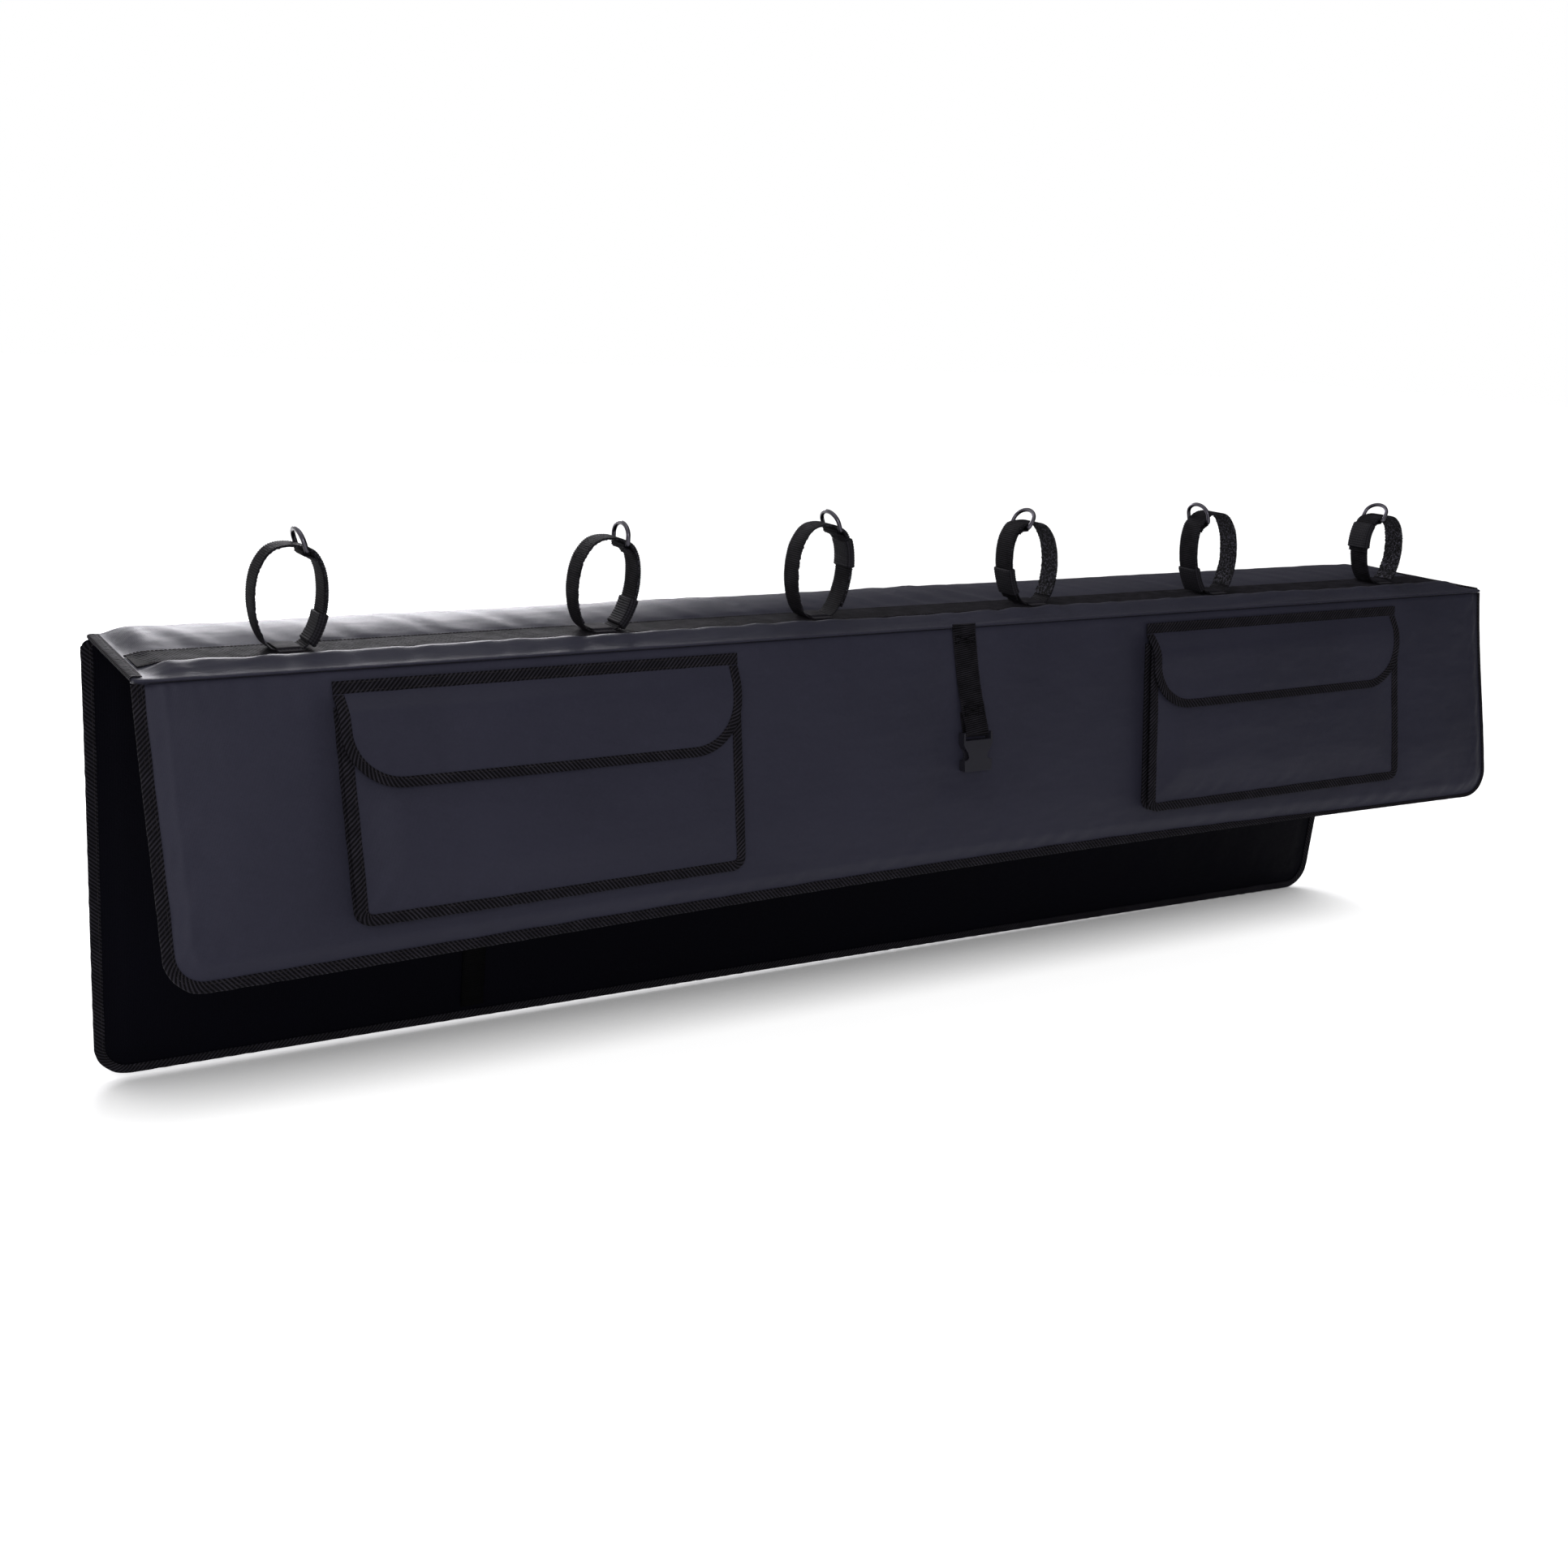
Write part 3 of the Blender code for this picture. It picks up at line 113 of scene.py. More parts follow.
# Side of the ring, lean at the top in metres, and shares of the way up at the ring, the keeper and the tail's end
STRAP_FORMS = (
    (1, 0.004, 0.87, 0.27, 0.17),
    (1, 0.008, 0.85, 0.27, 0.17),
    (1, 0.004, 0.86, 0.64, 0.22),
    (-1, -0.008, 0.90, 0.36, 0.20),
    (-1, -0.008, 0.82, 0.27, 0.17),
    (-1, -0.004, 0.88, 0.65, 0.50),
)
FOLD_LENGTH = 0.012
FOLD_WRAP = 0.17
KEEPER_LENGTH = 0.026
KEEPER_WALL = 0.0012
TAB_WIDTH = 0.021
TAB_FOOT = 0.007
TAB_THICKNESS = 0.0014
RING_WIRE = 0.0018
RING_HEIGHT = 0.0215
RING_SIDE_CLEARANCE = 0.0013
RING_LEG = 0.0085
RING_CORNER = 0.0028
RING_SEAT = 0.0004
RING_LEANS = (-16.0, 2.0, -20.0, 30.0, -12.0, 28.0)

# Pockets, as in the CAD source
POCKET_PLACE = 0.442
POCKET_SPAN = 0.383
POCKET_HALF = POCKET_SPAN / 2 - GAP - TAPE
POCKET_TOP = 0.008
POCKET_MOUTH = 0.036
POCKET_FOOT = 0.213 - GAP - TAPE
POCKET_DEPTH = 0.0135
POCKET_LIP = 0.006
POCKET_CORNER = 0.0125
BACK_TAPE_TOP = 0.030
LID_BOTTOM = 0.100
LID_CORNER = 0.050
LID_CLOTH = 0.0008
LID_TAPE_TOP = 0.0126
PATCH_HALF = 0.100
PATCH_TOP = 0.064
PATCH_HEIGHT = 0.020
PATCH_THICKNESS = 0.0008
POUCH_BACK = FLAP_PAD + SEWN_GAP + TAPE + GAP
POUCH_FRONT = FLAP_PAD + POCKET_DEPTH - TAPE - GAP
LID_SEAM = FLAP_PAD + SEWN_GAP
LID_FRONT = FLAP_PAD + POCKET_DEPTH + SEWN_GAP + 2 * (PATCH_THICKNESS + GAP) + GAP

# Tie straps and the strap inside the rear flap, as in the CAD source
TIE_HALF = 0.015
TIE_THICKNESS = 0.0015
TIE_TOP_PLACE = 0.0095
TIE_BOTTOM_PLACE = 0.0235
TIE_MIDDLE = (TIE_TOP_PLACE + TIE_BOTTOM_PLACE) / 2
TIE_DROP = 0.107
TIE_FOLD = 0.028
TIE_RISE = 0.004
INNER_TIE_TOP = 0.030
BUCKLE_BAR = 0.0013
BUCKLE_SEAT = 0.0004
BUCKLE_CLEARANCE = 0.0008
BUCKLE_THICKNESS = 0.0095
INNER_THICKNESS = 0.0050
REAR_STRAP_PLACE = -0.415
REAR_STRAP_HALF = 0.0125
REAR_STRAP_THICKNESS = 0.0015
REAR_STRAP_TOP = 0.030

# Shown otherwise than in the CAD source, as measured in the photograph: the widths of tape in view, and the straps'
# half width, the distance that their outer layer stands out and the radius of their rings' wire
TRIM = 0.0086
POUCH_TRIM = 0.0086
LID_TRIM = 0.0081
STRAP_HALF = 0.0130
PLUMP = 0.0029
SHOWN_WIRE = 0.0021

# The photograph's camera: turn about the vertical, tilt, roll, place and focal length in its pixels
CAMERA_TURN = 0.541013649
CAMERA_TILT = 0.270555925
CAMERA_ROLL = 0.0452451989
CAMERA_PLACE = (-1.05226096, -1.53273925, 0.321292539)
CAMERA_FOCUS = 2204.45675
PHOTO_WIDTH = 1932
SENSOR_WIDTH = 36.0

# Stage
FLOOR_GAP = 0.0002
FLOOR_REACH = 14.0
# Reach and depth of the painted shadow that darkens the floor's glow round the pad
PAINTED_SHADOW_REACH = 0.14
PAINTED_SHADOW_DEPTH = 2.4
CARD_CORNERS = ((1.2, 3.0), (3.2, 3.0), (3.2, -6.0))
CARD_HEIGHTS = (-0.44, 4.0)

# Each light's name, place, aim, width, height, power in watts and colour
LIGHTS = (
    ("overhead", (-0.6, 0.3, 2.4), (-0.2, 0.0, -0.1), 2.4, 1.6, 12.0, (1.0, 1.0, 1.0)),
    ("back_left", (0.15, 2.6, 0.60), (-0.45, 0.0, 0.0), 1.3, 0.7, 40.0, (0.97, 0.95, 1.0)),
    ("front_left", (-1.6, -2.5, 0.8), (-0.5, 0.0, -0.15), 1.3, 1.1, 34.0, (1.0, 1.0, 1.0)),
)

# Bound edges: how far the tape's pressed zone reaches in, and the length of the slope beside it
PRESSED = 0.01975
PRESSED_SLOPE = 0.0125
RISE_SLOPE = 0.020
ROLL = 0.0040
TOP_CORNER = 0.007
TOP_REACH = HALF_DEPTH - FLAP_PAD - 2 * GAP
STITCH_IN = 0.0022
POCKET_STITCH_IN = 0.0020
THREAD = {"Step": 0.0036, "Length": 0.0027}


# Filled by make_finishes; each finish belongs to a material slot of the CAD record
FINISHES = {}
SLOTS = {
    "cover": "cover_cloth", "lining": "lining_cloth", "tape": "binding_tape", "web_core": "strap_webbing",
    "web_rib": "strap_webbing", "pile": "pile_patch", "keeper": "keeper_band", "metal": "ring_metal",
    "plastic": "buckle_plastic",
}


def ease(share):
    """Smooth step from 0 to 1."""
    share = np.clip(share, 0.0, 1.0)
    return share * share * (3 - 2 * share)


def ripple(s, pitch, seed):
    """Irregular wave of about one unit along s, the same on each run."""
    rng = np.random.default_rng(seed)
    total = 0.0
    for wave, phase in zip(rng.uniform(0.55, 1.8, 6), rng.uniform(0, 2 * np.pi, 6)):
        total = total + np.sin(2 * np.pi * s / (pitch * wave) + phase)
    return total / 3


def swell(x, v, reach, seed):
    """Soft unevenness of stuffing over a surface, about one unit high."""
    rng = np.random.default_rng(seed)
    total = 0.0
    for wave, turn, phase in zip(rng.uniform(0.5, 1.6, 9), rng.uniform(0, np.pi, 9), rng.uniform(0, 2 * np.pi, 9)):
        total = total + np.sin(2 * np.pi * (x * np.cos(turn) + v * np.sin(turn)) / (reach * wave) + phase)
    return total / 4


def soften(line, rounds=2):
    """Cut the corners of a line of points, ends kept."""
    line = np.asarray(line, float)
    for _ in range(rounds):
        near = line[:-1] * 0.75 + line[1:] * 0.25
        far = line[:-1] * 0.25 + line[1:] * 0.75
        middle = np.empty((2 * len(near), line.shape[1]))
        middle[0::2] = near
        middle[1::2] = far
        line = np.concatenate((line[:1], middle, line[-1:]))
    return line


def lengths(line):
    """Distance run at each point of a line."""
    return np.concatenate(([0.0], np.cumsum(np.linalg.norm(np.diff(line, axis=0), axis=1))))


def respace(line, step):
    """The same line with evenly spaced points about a step apart."""
    run = lengths(line)
    count = max(int(round(run[-1] / step)), 2)
    spots = np.linspace(0.0, run[-1], count + 1)
    return np.stack([np.interp(spots, run, line[:, k]) for k in range(line.shape[1])], 1)


def unit(vectors):
    return vectors / np.linalg.norm(vectors, axis=-1, keepdims=True)


def blunt(value, power):
    """A sine or cosine, squared off."""
    return np.sign(value) * np.abs(value) ** power


def blunt_section(count, half_width, half_height, power):
    """Section of a flat band with rounded corners."""
    turn = (np.arange(count) + 0.5) * 2 * np.pi / count
    return np.stack((blunt(np.cos(turn), power) * half_width, blunt(np.sin(turn), 0.5) * half_height), 1)


def xyz(x, y, z):
    """Points from rows or single values of x, y and z."""
    return np.stack(np.broadcast_arrays(x, y, z), -1)


def crowded(half, dense, count, coarse=1):
    """Places from -half to half, closer together within the dense stretch at both ends; coarse thins them out."""
    edge = np.concatenate((np.arange(0, dense, 0.002), np.arange(dense + 0.0025, 0.07, 0.004)))
    place = np.concatenate((edge[::coarse], np.linspace(0.0745, half, count)))
    return np.concatenate((place - half, (half - place[:-1])[::-1]))


def left_normals(line):
    """Unit normals on the left of a plane line."""
    step = np.gradient(line, axis=0)
    step /= np.linalg.norm(step, axis=1)[:, None] + 1e-12
    return np.stack((-step[:, 1], step[:, 0]), 1)


def thick_line(line, thickness):
    """Closed section round an open plane line, with its ends drawn in a little."""
    line = np.asarray(line, float)
    half = np.full(len(line), thickness / 2)
    half[[0, -1]] *= 0.45
    side = left_normals(line) * half[:, None]
    return np.concatenate((line + side, (line - side)[::-1]))


def assign(thing, values):
    for name, value in values.items():
        setattr(thing, name, value)


def put(name, data):
    """A new object in the scene that shows a mesh, a light or a camera."""
    thing = bpy.data.objects.new(name, data)
    bpy.context.scene.collection.objects.link(thing)
    return thing


def plain_mesh(name, points, edges, faces):
    mesh = bpy.data.meshes.new(name)
    mesh.from_pydata(points, edges, faces)
    return mesh


def link(name, mesh, finish, sharp=45):
    """A shaded object from a mesh, in its one material."""
    mesh.materials.clear()
    mesh.materials.append(finish)
    mesh.shade_smooth()
    mesh.set_sharp_from_angle(angle=math.radians(sharp))
    return put(name, mesh)


def loft(name, rings, finish, *nodes, body="pad", closed=False, sharp=45):
    """Closed piece through matching rings of points, in place of its CAD nodes.

    Its pattern map runs along and round it in metres.
    """
    rings = np.asarray(rings, float)
    count, sides = rings.shape[:2]
    index = np.arange(count * sides).reshape(count, sides)
    along = lengths(rings.mean(1))
    middle = rings[count // 2]
    around = np.concatenate((lengths(middle), [0.0]))
    around[-1] = around[-2] + np.linalg.norm(middle[-1] - middle[0])
    if closed:
        index = np.vstack((index, index[:1]))
        last = np.linalg.norm(rings[-1].mean(0) - rings[0].mean(0))
        along = np.append(along, along[-1] + last)
    ahead = np.roll(index, -1, 1)
    quads = np.stack((index[:-1], ahead[:-1], ahead[1:], index[1:]), -1).reshape(-1, 4)
    u = np.repeat(along[:, None], sides + 1, 1)
    w = np.repeat(around[None, :], len(along), 0)
    corners = [(u[:-1, :-1], w[:-1, :-1]), (u[:-1, 1:], w[:-1, 1:]), (u[1:, 1:], w[1:, 1:]), (u[1:, :-1], w[1:, :-1])]
    uv = np.stack([np.stack(c, -1) for c in corners], 2).reshape(-1, 2)
    faces = quads.tolist()
    if not closed:
        half = sides // 2
        for row, place in ((index[0], along[0]), (index[-1], along[-1])):
            for k in range(half - 1):
                faces.append([int(row[j]) for j in (k, k + 1, sides - 2 - k, sides - 1 - k)])
            spots = [(place, around[k]) for k in range(half)]
            extra = [p for k in range(half - 1) for p in (spots[k], spots[k + 1], spots[k + 1], spots[k])]
            uv = np.concatenate((uv, np.array(extra)))
    mesh = plain_mesh(name, rings.reshape(-1, 3).tolist(), [], faces)
    mesh.uv_layers.new(name="Pattern").data.foreach_set("uv", uv.astype(np.float32).ravel())
    tidy_faces(mesh)
    return settle(link(name, mesh, FINISHES[finish], sharp), body, SLOTS[finish], *nodes)


def tidy_faces(mesh, merge=0.0):
    """Turn all faces outwards; merge joins points closer than that, and then the faces in one plane."""
    body = bmesh.new()
    body.from_mesh(mesh)
    if merge:
        bmesh.ops.remove_doubles(body, verts=body.verts, dist=merge)
    bmesh.ops.recalc_face_normals(body, faces=body.faces)
    if merge:
        bmesh.ops.dissolve_limit(body, angle_limit=math.radians(1.5), verts=body.verts, edges=body.edges)
    body.to_mesh(mesh)
    body.free()


def shell(name, upper, lower, finish, *nodes, sharp=45):
    """Closed piece between two grids of points; each column becomes a ring."""
    upper = np.asarray(upper).transpose(1, 0, 2)
    lower = np.asarray(lower).transpose(1, 0, 2)[:, ::-1]
    return loft(name, np.concatenate((upper, lower), 1), finish, *nodes, sharp=sharp)


def settle(piece, body, slot, *nodes):
    """The piece rides on its body and stands for its CAD nodes."""
    if nodes:
        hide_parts(*nodes)
    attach(piece, body)
    return piece


# Finishes


class Wire:
    """A number that runs between shader nodes, usable in sums."""

    def __init__(self, finish, socket):
        self.finish = finish
        self.socket = socket

    def join(self, operation, *others):
        values = dict(enumerate((self, *others)))
        return self.finish.add("ShaderNodeMath", {"operation": operation}, values)

    def __add__(self, other):
        return self.join("ADD", other)

    def __mul__(self, other):
        return self.join("MULTIPLY", other)

    def __sub__(self, other):
        return self.join("SUBTRACT", other)

    def __rsub__(self, other):
        return self.finish.add("ShaderNodeMath", {"operation": "SUBTRACT"}, {0: other, 1: self})

    def __pow__(self, other):
        return self.join("POWER", other)

    def sine(self):
        return self.join("SINE")

    def within(self):
        """Held between 0 and 1."""
        return self.join("MAXIMUM", 0.0).join("MINIMUM", 1.0)

    __radd__ = __add__
    __rmul__ = __mul__


class Nodes:
    """A tree of shader nodes that are added in sums."""

    def __init__(self, tree):
        self.tree = tree

    def node(self, kind, values=None, **settings):
        """A new node with its settings, and with its sockets set or linked."""
        node = self.tree.nodes.new(kind)
        assign(node, settings)
        for key, value in (values or {}).items():
            self.plug(value, node.inputs[key])
        return node

    def add(self, kind, settings=None, sockets=None, output=0):
        return Wire(self, self.node(kind, sockets, **(settings or {})).outputs[output])

    def plug(self, value, socket):
        value = value.socket if isinstance(value, Wire) else value
        if isinstance(value, bpy.types.NodeSocket):
            self.tree.links.new(value, socket)
        else:
            socket.default_value = value

    def seen_directly(self):
        """1 for rays from the camera, mirrors and glass, 0 for light that falls on things."""
        path = self.node("ShaderNodeLightPath").outputs
        total, *others = (Wire(self, path[f"Is {kind} Ray"]) for kind in ("Camera", "Glossy", "Transmission"))
        for other in others:
            total = total.join("MAXIMUM", other)
        return total


class Finish(Nodes):
    """One material, with its shader."""

    def __init__(self, name, **constants):
        self.material = bpy.data.materials.new(name)
        self.material.use_nodes = True
        super().__init__(self.material.node_tree)
        self.shader = self.tree.nodes["Principled BSDF"]
        for socket, value in constants.items():
            self.shader.inputs[socket.replace("_", " ")].default_value = value

    def pattern(self):
        """The two directions of the piece's own pattern map, in metres."""
        map_ = self.add("ShaderNodeUVMap", {"uv_map": "Pattern"})
        parts = self.node("ShaderNodeSeparateXYZ", {0: map_}).outputs
        return Wire(self, parts[0]), Wire(self, parts[1])

    def place(self):
        return self.add("ShaderNodeTexCoord", output="Object")

    def noise(self, scale, detail=3.0, where=None, stretch=None):
        where = where or self.place()
        if stretch:
            where = self.add("ShaderNodeMapping", None, {"Vector": where, "Scale": stretch})
        values = {"Vector": where, "Scale": scale, "Detail": detail}
        return self.add("ShaderNodeTexNoise", None, values)

    def blend(self, share, first, second):
        values = {0: share, 6: first, 7: second}
        return self.add("ShaderNodeMix", {"data_type": "RGBA"}, values, 2)

    def done(self, share, colour, low, high, roughness, height, distance):
        """The finished material: its colour runs from low to high times the given one."""
        bump = self.add("ShaderNodeBump", None, {"Height": height, "Distance": distance, "Strength": 1.0})
        colour = self.blend(share, tone(colour, low), tone(colour, high))
        for socket, value in (("Base Color", colour), ("Roughness", roughness), ("Normal", bump)):
            self.plug(value, self.shader.inputs[socket])
        return self.material


def tone(colour, factor):
    return (*(min(c * factor, 1.0) for c in colour), 1.0)


def ridges(position, pitch):
    """Wave from 0 to 1 with the given pitch in metres."""
    return (position * (2 * math.pi / pitch)).sine() * 0.5 + 0.5


def cover_finish(colours):
    """Smooth coated cloth: fine plain weave, soft creases and a light dust on it."""
    f = Finish("cover_cloth", Specular_IOR_Level=0.10, Sheen_Weight=0.03, Sheen_Roughness=0.4)
    f.shader.inputs["Specular Tint"].default_value = (0.90, 0.88, 1.0, 1.0)
    u, v = f.pattern()
    weave = ridges(u, 0.0009) * ridges(v, 0.0009)
    cloud = f.noise(7.0, 4.0)
    grain = f.noise(420.0, 2.0)
    crease = f.noise(26.0, 2.0, stretch=(0.6, 1.0, 1.5))
    dust = ((f.noise(95.0, 5.0) - 0.60) * 4.0).within()
    share = (cloud * 0.9 + grain * 0.35 + dust * 0.25 - 0.3).within()
    roughness = (0.36 + cloud * 0.12 + grain * 0.06 + dust * 0.10).within()
    height = weave * 0.10 + crease * 1.9 + f.noise(150.0, 2.0) * 0.10
    return f.done(share, colours.cover, 0.80, 1.30, roughness, height, 0.0009)


def lining_finish(colours):
    """Thin knit lining, nearly black."""
    f = Finish("lining_cloth", Specular_IOR_Level=0.02)
    u, v = f.pattern()
    knit = ridges(u, 0.0014) * ridges(v, 0.0011)
    cloud = f.noise(9.0, 4.0)
    height = knit * 0.15 + f.noise(22.0, 3.0) * 2.2
    return f.done(cloud, colours.lining, 0.7, 1.5, 0.46 + cloud * 0.15, height, 0.0012)


def tape_finish(colours):
    """Twill binding tape: slanted ribs with a painted highlight on their crowns and painted shade between them, and
    rubbed along the fold.
    """
    f = Finish("binding_tape", Specular_IOR_Level=0.03)
    u, v = f.pattern()
    twill = ridges(u + v * 0.9, 0.0042)
    thread = ridges(v, 0.0009)
    rub = ((f.noise(60.0, 4.0) - 0.42) * 3.0).within()
    # Painted highlight on the rib crowns and painted shade between them; where the tape is rubbed, the crowns are
    # paler still
    crown = (twill ** 1.3 * (0.55 + rub * 0.45) + f.noise(700.0, 1.0) * 0.10).within()
    return f.done(crown, colours.tape, 0.12, 3.6, 0.72 - crown * 0.14, twill * 0.9 + thread * 0.15, 0.0008)


def webbing_finish(name, colour, low, high):
    """Woven webbing: threads along and across, rubbed paler in places."""
    f = Finish(name, Specular_IOR_Level=0.03)
    place = f.place()
    thread = f.noise(1400.0, 2.0, place)
    rub = ((f.noise(75.0, 4.0, place) - 0.35) * 2.2).within()
    share = (thread * 0.8 + rub * 0.6 - 0.25).within()
    return f.done(share, colour, low, high, 0.70 - share * 0.14, thread, 0.00035)


def pile_finish(colours):
    """Loop pile: a speckled, furry face."""
    f = Finish("pile_patch", Specular_IOR_Level=0.03, Sheen_Weight=0.05, Sheen_Roughness=0.6)
    place = f.place()
    cells = f.add("ShaderNodeTexVoronoi", None, {"Vector": place, "Scale": 700.0})
    speck = ((f.noise(480.0, 3.0, place) - 0.49) * 7.0).within()
    return f.done(speck, colours.pile, 0.35, 7.0, 0.9, cells + speck * 0.6, 0.0008)


def keeper_finish(colours):
    """Elastic band: fine cords along it with a painted highlight on their crowns, under a rubbed face."""
    f = Finish("keeper_band", Specular_IOR_Level=0.05)
    cords = ridges(f.pattern()[0], 0.0024)
    # Painted highlight on the cord crowns, with rubbed paler patches from the noise
    share = (cords * 0.65 + f.noise(900.0, 2.0) * 0.5 - 0.1).within()
    height = cords * 0.4 + f.noise(1200.0, 1.0) * 0.2
    return f.done(share, colours.keeper, 0.45, 2.0, 0.66 - share * 0.1, height, 0.0004)


def thread_finish(name, colour):
    """Sewing thread: twisted plies."""
    f = Finish(name, Specular_IOR_Level=0.08)
    twist = f.noise(1500.0, 1.0)
    return f.done(twist, colour, 0.6, 1.4, 0.55 + twist * 0.1, twist, 0.0002)


def metal_finish(colours):
    """Dark satin coated wire, rubbed brighter here and there."""
    f = Finish("ring_metal", Metallic=1.0, Coat_Weight=0.3, Coat_Roughness=0.2)
    cloud = f.noise(120.0, 4.0)
    fine = f.noise(900.0, 3.0, stretch=(1.0, 3.0, 1.0))
    rub = ((cloud - 0.52) * 6.0).within()
    return f.done(rub, colours.metal, 1.0, 1.6, 0.26 + fine * 0.14 - rub * 0.05, fine, 0.00008)


def plastic_finish(colours):
    """Moulded acetal with a fine spark grain."""
    f = Finish("buckle_plastic", Specular_IOR_Level=0.15)
    grain = f.noise(1100.0, 3.0)
    cloud = f.noise(60.0, 3.0)
    return f.done(cloud, colours.plastic, 0.85, 1.2, 0.40 + grain * 0.16, grain, 0.00012)


def make_finishes(colours):
    FINISHES.update(
        cover=cover_finish(colours),
        lining=lining_finish(colours),
        tape=tape_finish(colours),
        # The core is a darker copy of the webbing, painted shade between the ribs, and the ribs a paler copy with a
        # painted highlight
        web_core=webbing_finish("strap_webbing", colours.webbing, 0.10, 0.35),
        web_rib=webbing_finish("strap_webbing_rib", colours.webbing, 0.8, 3.6),
        # The rear strap's ribs: a copy of the webbing darker still, painted shade inside the rear flap
        web_black=webbing_finish("rear_strap_webbing", colours.webbing, 0.02, 0.12),
        pile=pile_finish(colours),
        keeper=keeper_finish(colours),
        thread=thread_finish("sewing_thread", colours.thread),
        pale_thread=thread_finish("pale_sewing_thread", colours.pale_thread),
        metal=metal_finish(colours),
        plastic=plastic_finish(colours),
    )


# What repeats along a line: ribs of webbing and stitches


def repeat_tree(name, shape, settings):
    """Nodes that set a small shape along each line, in evenly spaced steps.

    shape adds the shape's nodes and returns its geometry; settings are the sizes that the tree takes.
    """
    tree = bpy.data.node_groups.new(name, "GeometryNodeTree")
    tree.interface.new_socket("Geometry", in_out="INPUT", socket_type="NodeSocketGeometry")
    for label, value in settings.items():
        kind = "NodeSocketVector" if isinstance(value, tuple) else "NodeSocketFloat"
        tree.interface.new_socket(label, in_out="INPUT", socket_type=kind).default_value = value
    tree.interface.new_socket("Material", in_out="INPUT", socket_type="NodeSocketMaterial")
    tree.interface.new_socket("Geometry", in_out="OUTPUT", socket_type="NodeSocketGeometry")

    add = Nodes(tree).node
    given = add("NodeGroupInput").outputs
    curve = add("GeometryNodeMeshToCurve", {"Mesh": given["Geometry"]})
    points = add("GeometryNodeCurveToPoints", {"Curve": curve.outputs[0], "Length": given["Step"]}, mode="LENGTH")
    along = add("FunctionNodeAlignRotationToVector", {"Vector": points.outputs["Tangent"]}, axis="X")
    turned = along.outputs[0]
    if "Across" in settings:
        across = add(
            "FunctionNodeAlignRotationToVector",
            {"Rotation": turned, "Vector": given["Across"]}, axis="Y", pivot_axis="X",
        )
        turned = across.outputs[0]
    spread = add("FunctionNodeRandomValue", {"Min": (0.94, 0.975, 0.92), "Max": (1.06, 1.02, 1.06), "Seed": 7},
                 data_type="FLOAT_VECTOR")
    placed = add("GeometryNodeInstanceOnPoints", {
        "Points": points.outputs["Points"], "Instance": shape(add, given), "Rotation": turned,
        "Scale": spread.outputs[0],
    })
    real = add("GeometryNodeRealizeInstances", {"Geometry": placed.outputs[0]})
    dressed = add("GeometryNodeSetMaterial", {"Geometry": real.outputs[0], "Material": given["Material"]})
    add("NodeGroupOutput", {"Geometry": dressed.outputs[0]})
    return tree


def scaled(add, shape, given):
    size = add("ShaderNodeCombineXYZ", {"X": given["Length"], "Y": given["Width"], "Z": given["Height"]})
    return add("GeometryNodeTransform", {"Geometry": shape.outputs[0], "Scale": size.outputs[0]})


def rib_shape(add, given):
    """Rounded bar that lies across the webbing."""
    bar = add("GeometryNodeMeshCylinder", {"Vertices": 6, "Side Segments": 1, "Radius": 0.5, "Depth": 1.0})
    laid = add("GeometryNodeTransform", {"Geometry": bar.outputs["Mesh"], "Rotation": (math.pi / 2, 0.0, 0.0)})
    sized = scaled(add, laid, given)
    slant = add("ShaderNodeCombineXYZ", {"Z": given["Slant"]})
    return add("GeometryNodeTransform", {"Geometry": sized.outputs[0], "Rotation": slant.outputs[0]}).outputs[0]


def stitch_shape(add, given):
    """Plump stitch that dips in at both ends."""
    ball = add("GeometryNodeMeshUVSphere", {"Segments": 4, "Rings": 4, "Radius": 0.5})
    laid = add("GeometryNodeTransform", {"Geometry": ball.outputs["Mesh"], "Rotation": (0.0, math.pi / 2, 0.0)})
    return scaled(add, laid, given).outputs[0]


# Each kind's name, its shape and its usual sizes
KINDS = {
    "rib": ("Webbing ribs", rib_shape, {
        "Step": 0.002, "Length": 0.0022, "Width": 0.025, "Height": 0.0016, "Slant": 0.0, "Across": (0.0, 1.0, 0.0),
    }),
    "stitch": ("Stitches", stitch_shape, {"Step": 0.0034, "Length": 0.0026, "Width": 0.0008, "Height": 0.0006}),
}
TREES = {}


def repeat_along(name, lines, kind, finish, slot="binding_tape", body="pad", **sizes):
    """Plain mesh of the small shapes along the given lines of points."""
    if kind not in TREES:
        TREES[kind] = repeat_tree(*KINDS[kind])
    tree = TREES[kind]
    points = []
    edges = []
    for line in lines:
        start = len(points)
        points += [tuple(p) for p in np.asarray(line, float)]
        edges += [(i, i + 1) for i in range(start, len(points) - 1)]
    thing = put(name, plain_mesh(name, points, edges, []))
    nodes = thing.modifiers.new("Repeat", "NODES")
    nodes.node_group = tree
    for item in tree.interface.items_tree:
        if item.in_out == "INPUT" and item.name in sizes:
            nodes[item.identifier] = sizes[item.name]
        elif item.in_out == "INPUT" and item.name == "Material":
            nodes[item.identifier] = FINISHES[finish]
    bpy.context.view_layer.update()
    made = bpy.data.meshes.new_from_object(thing.evaluated_get(bpy.context.evaluated_depsgraph_get()))
    bpy.data.objects.remove(thing, do_unlink=True)
    made.name = name
    return settle(link(name, made, FINISHES[finish]), body, slot)


# Panels


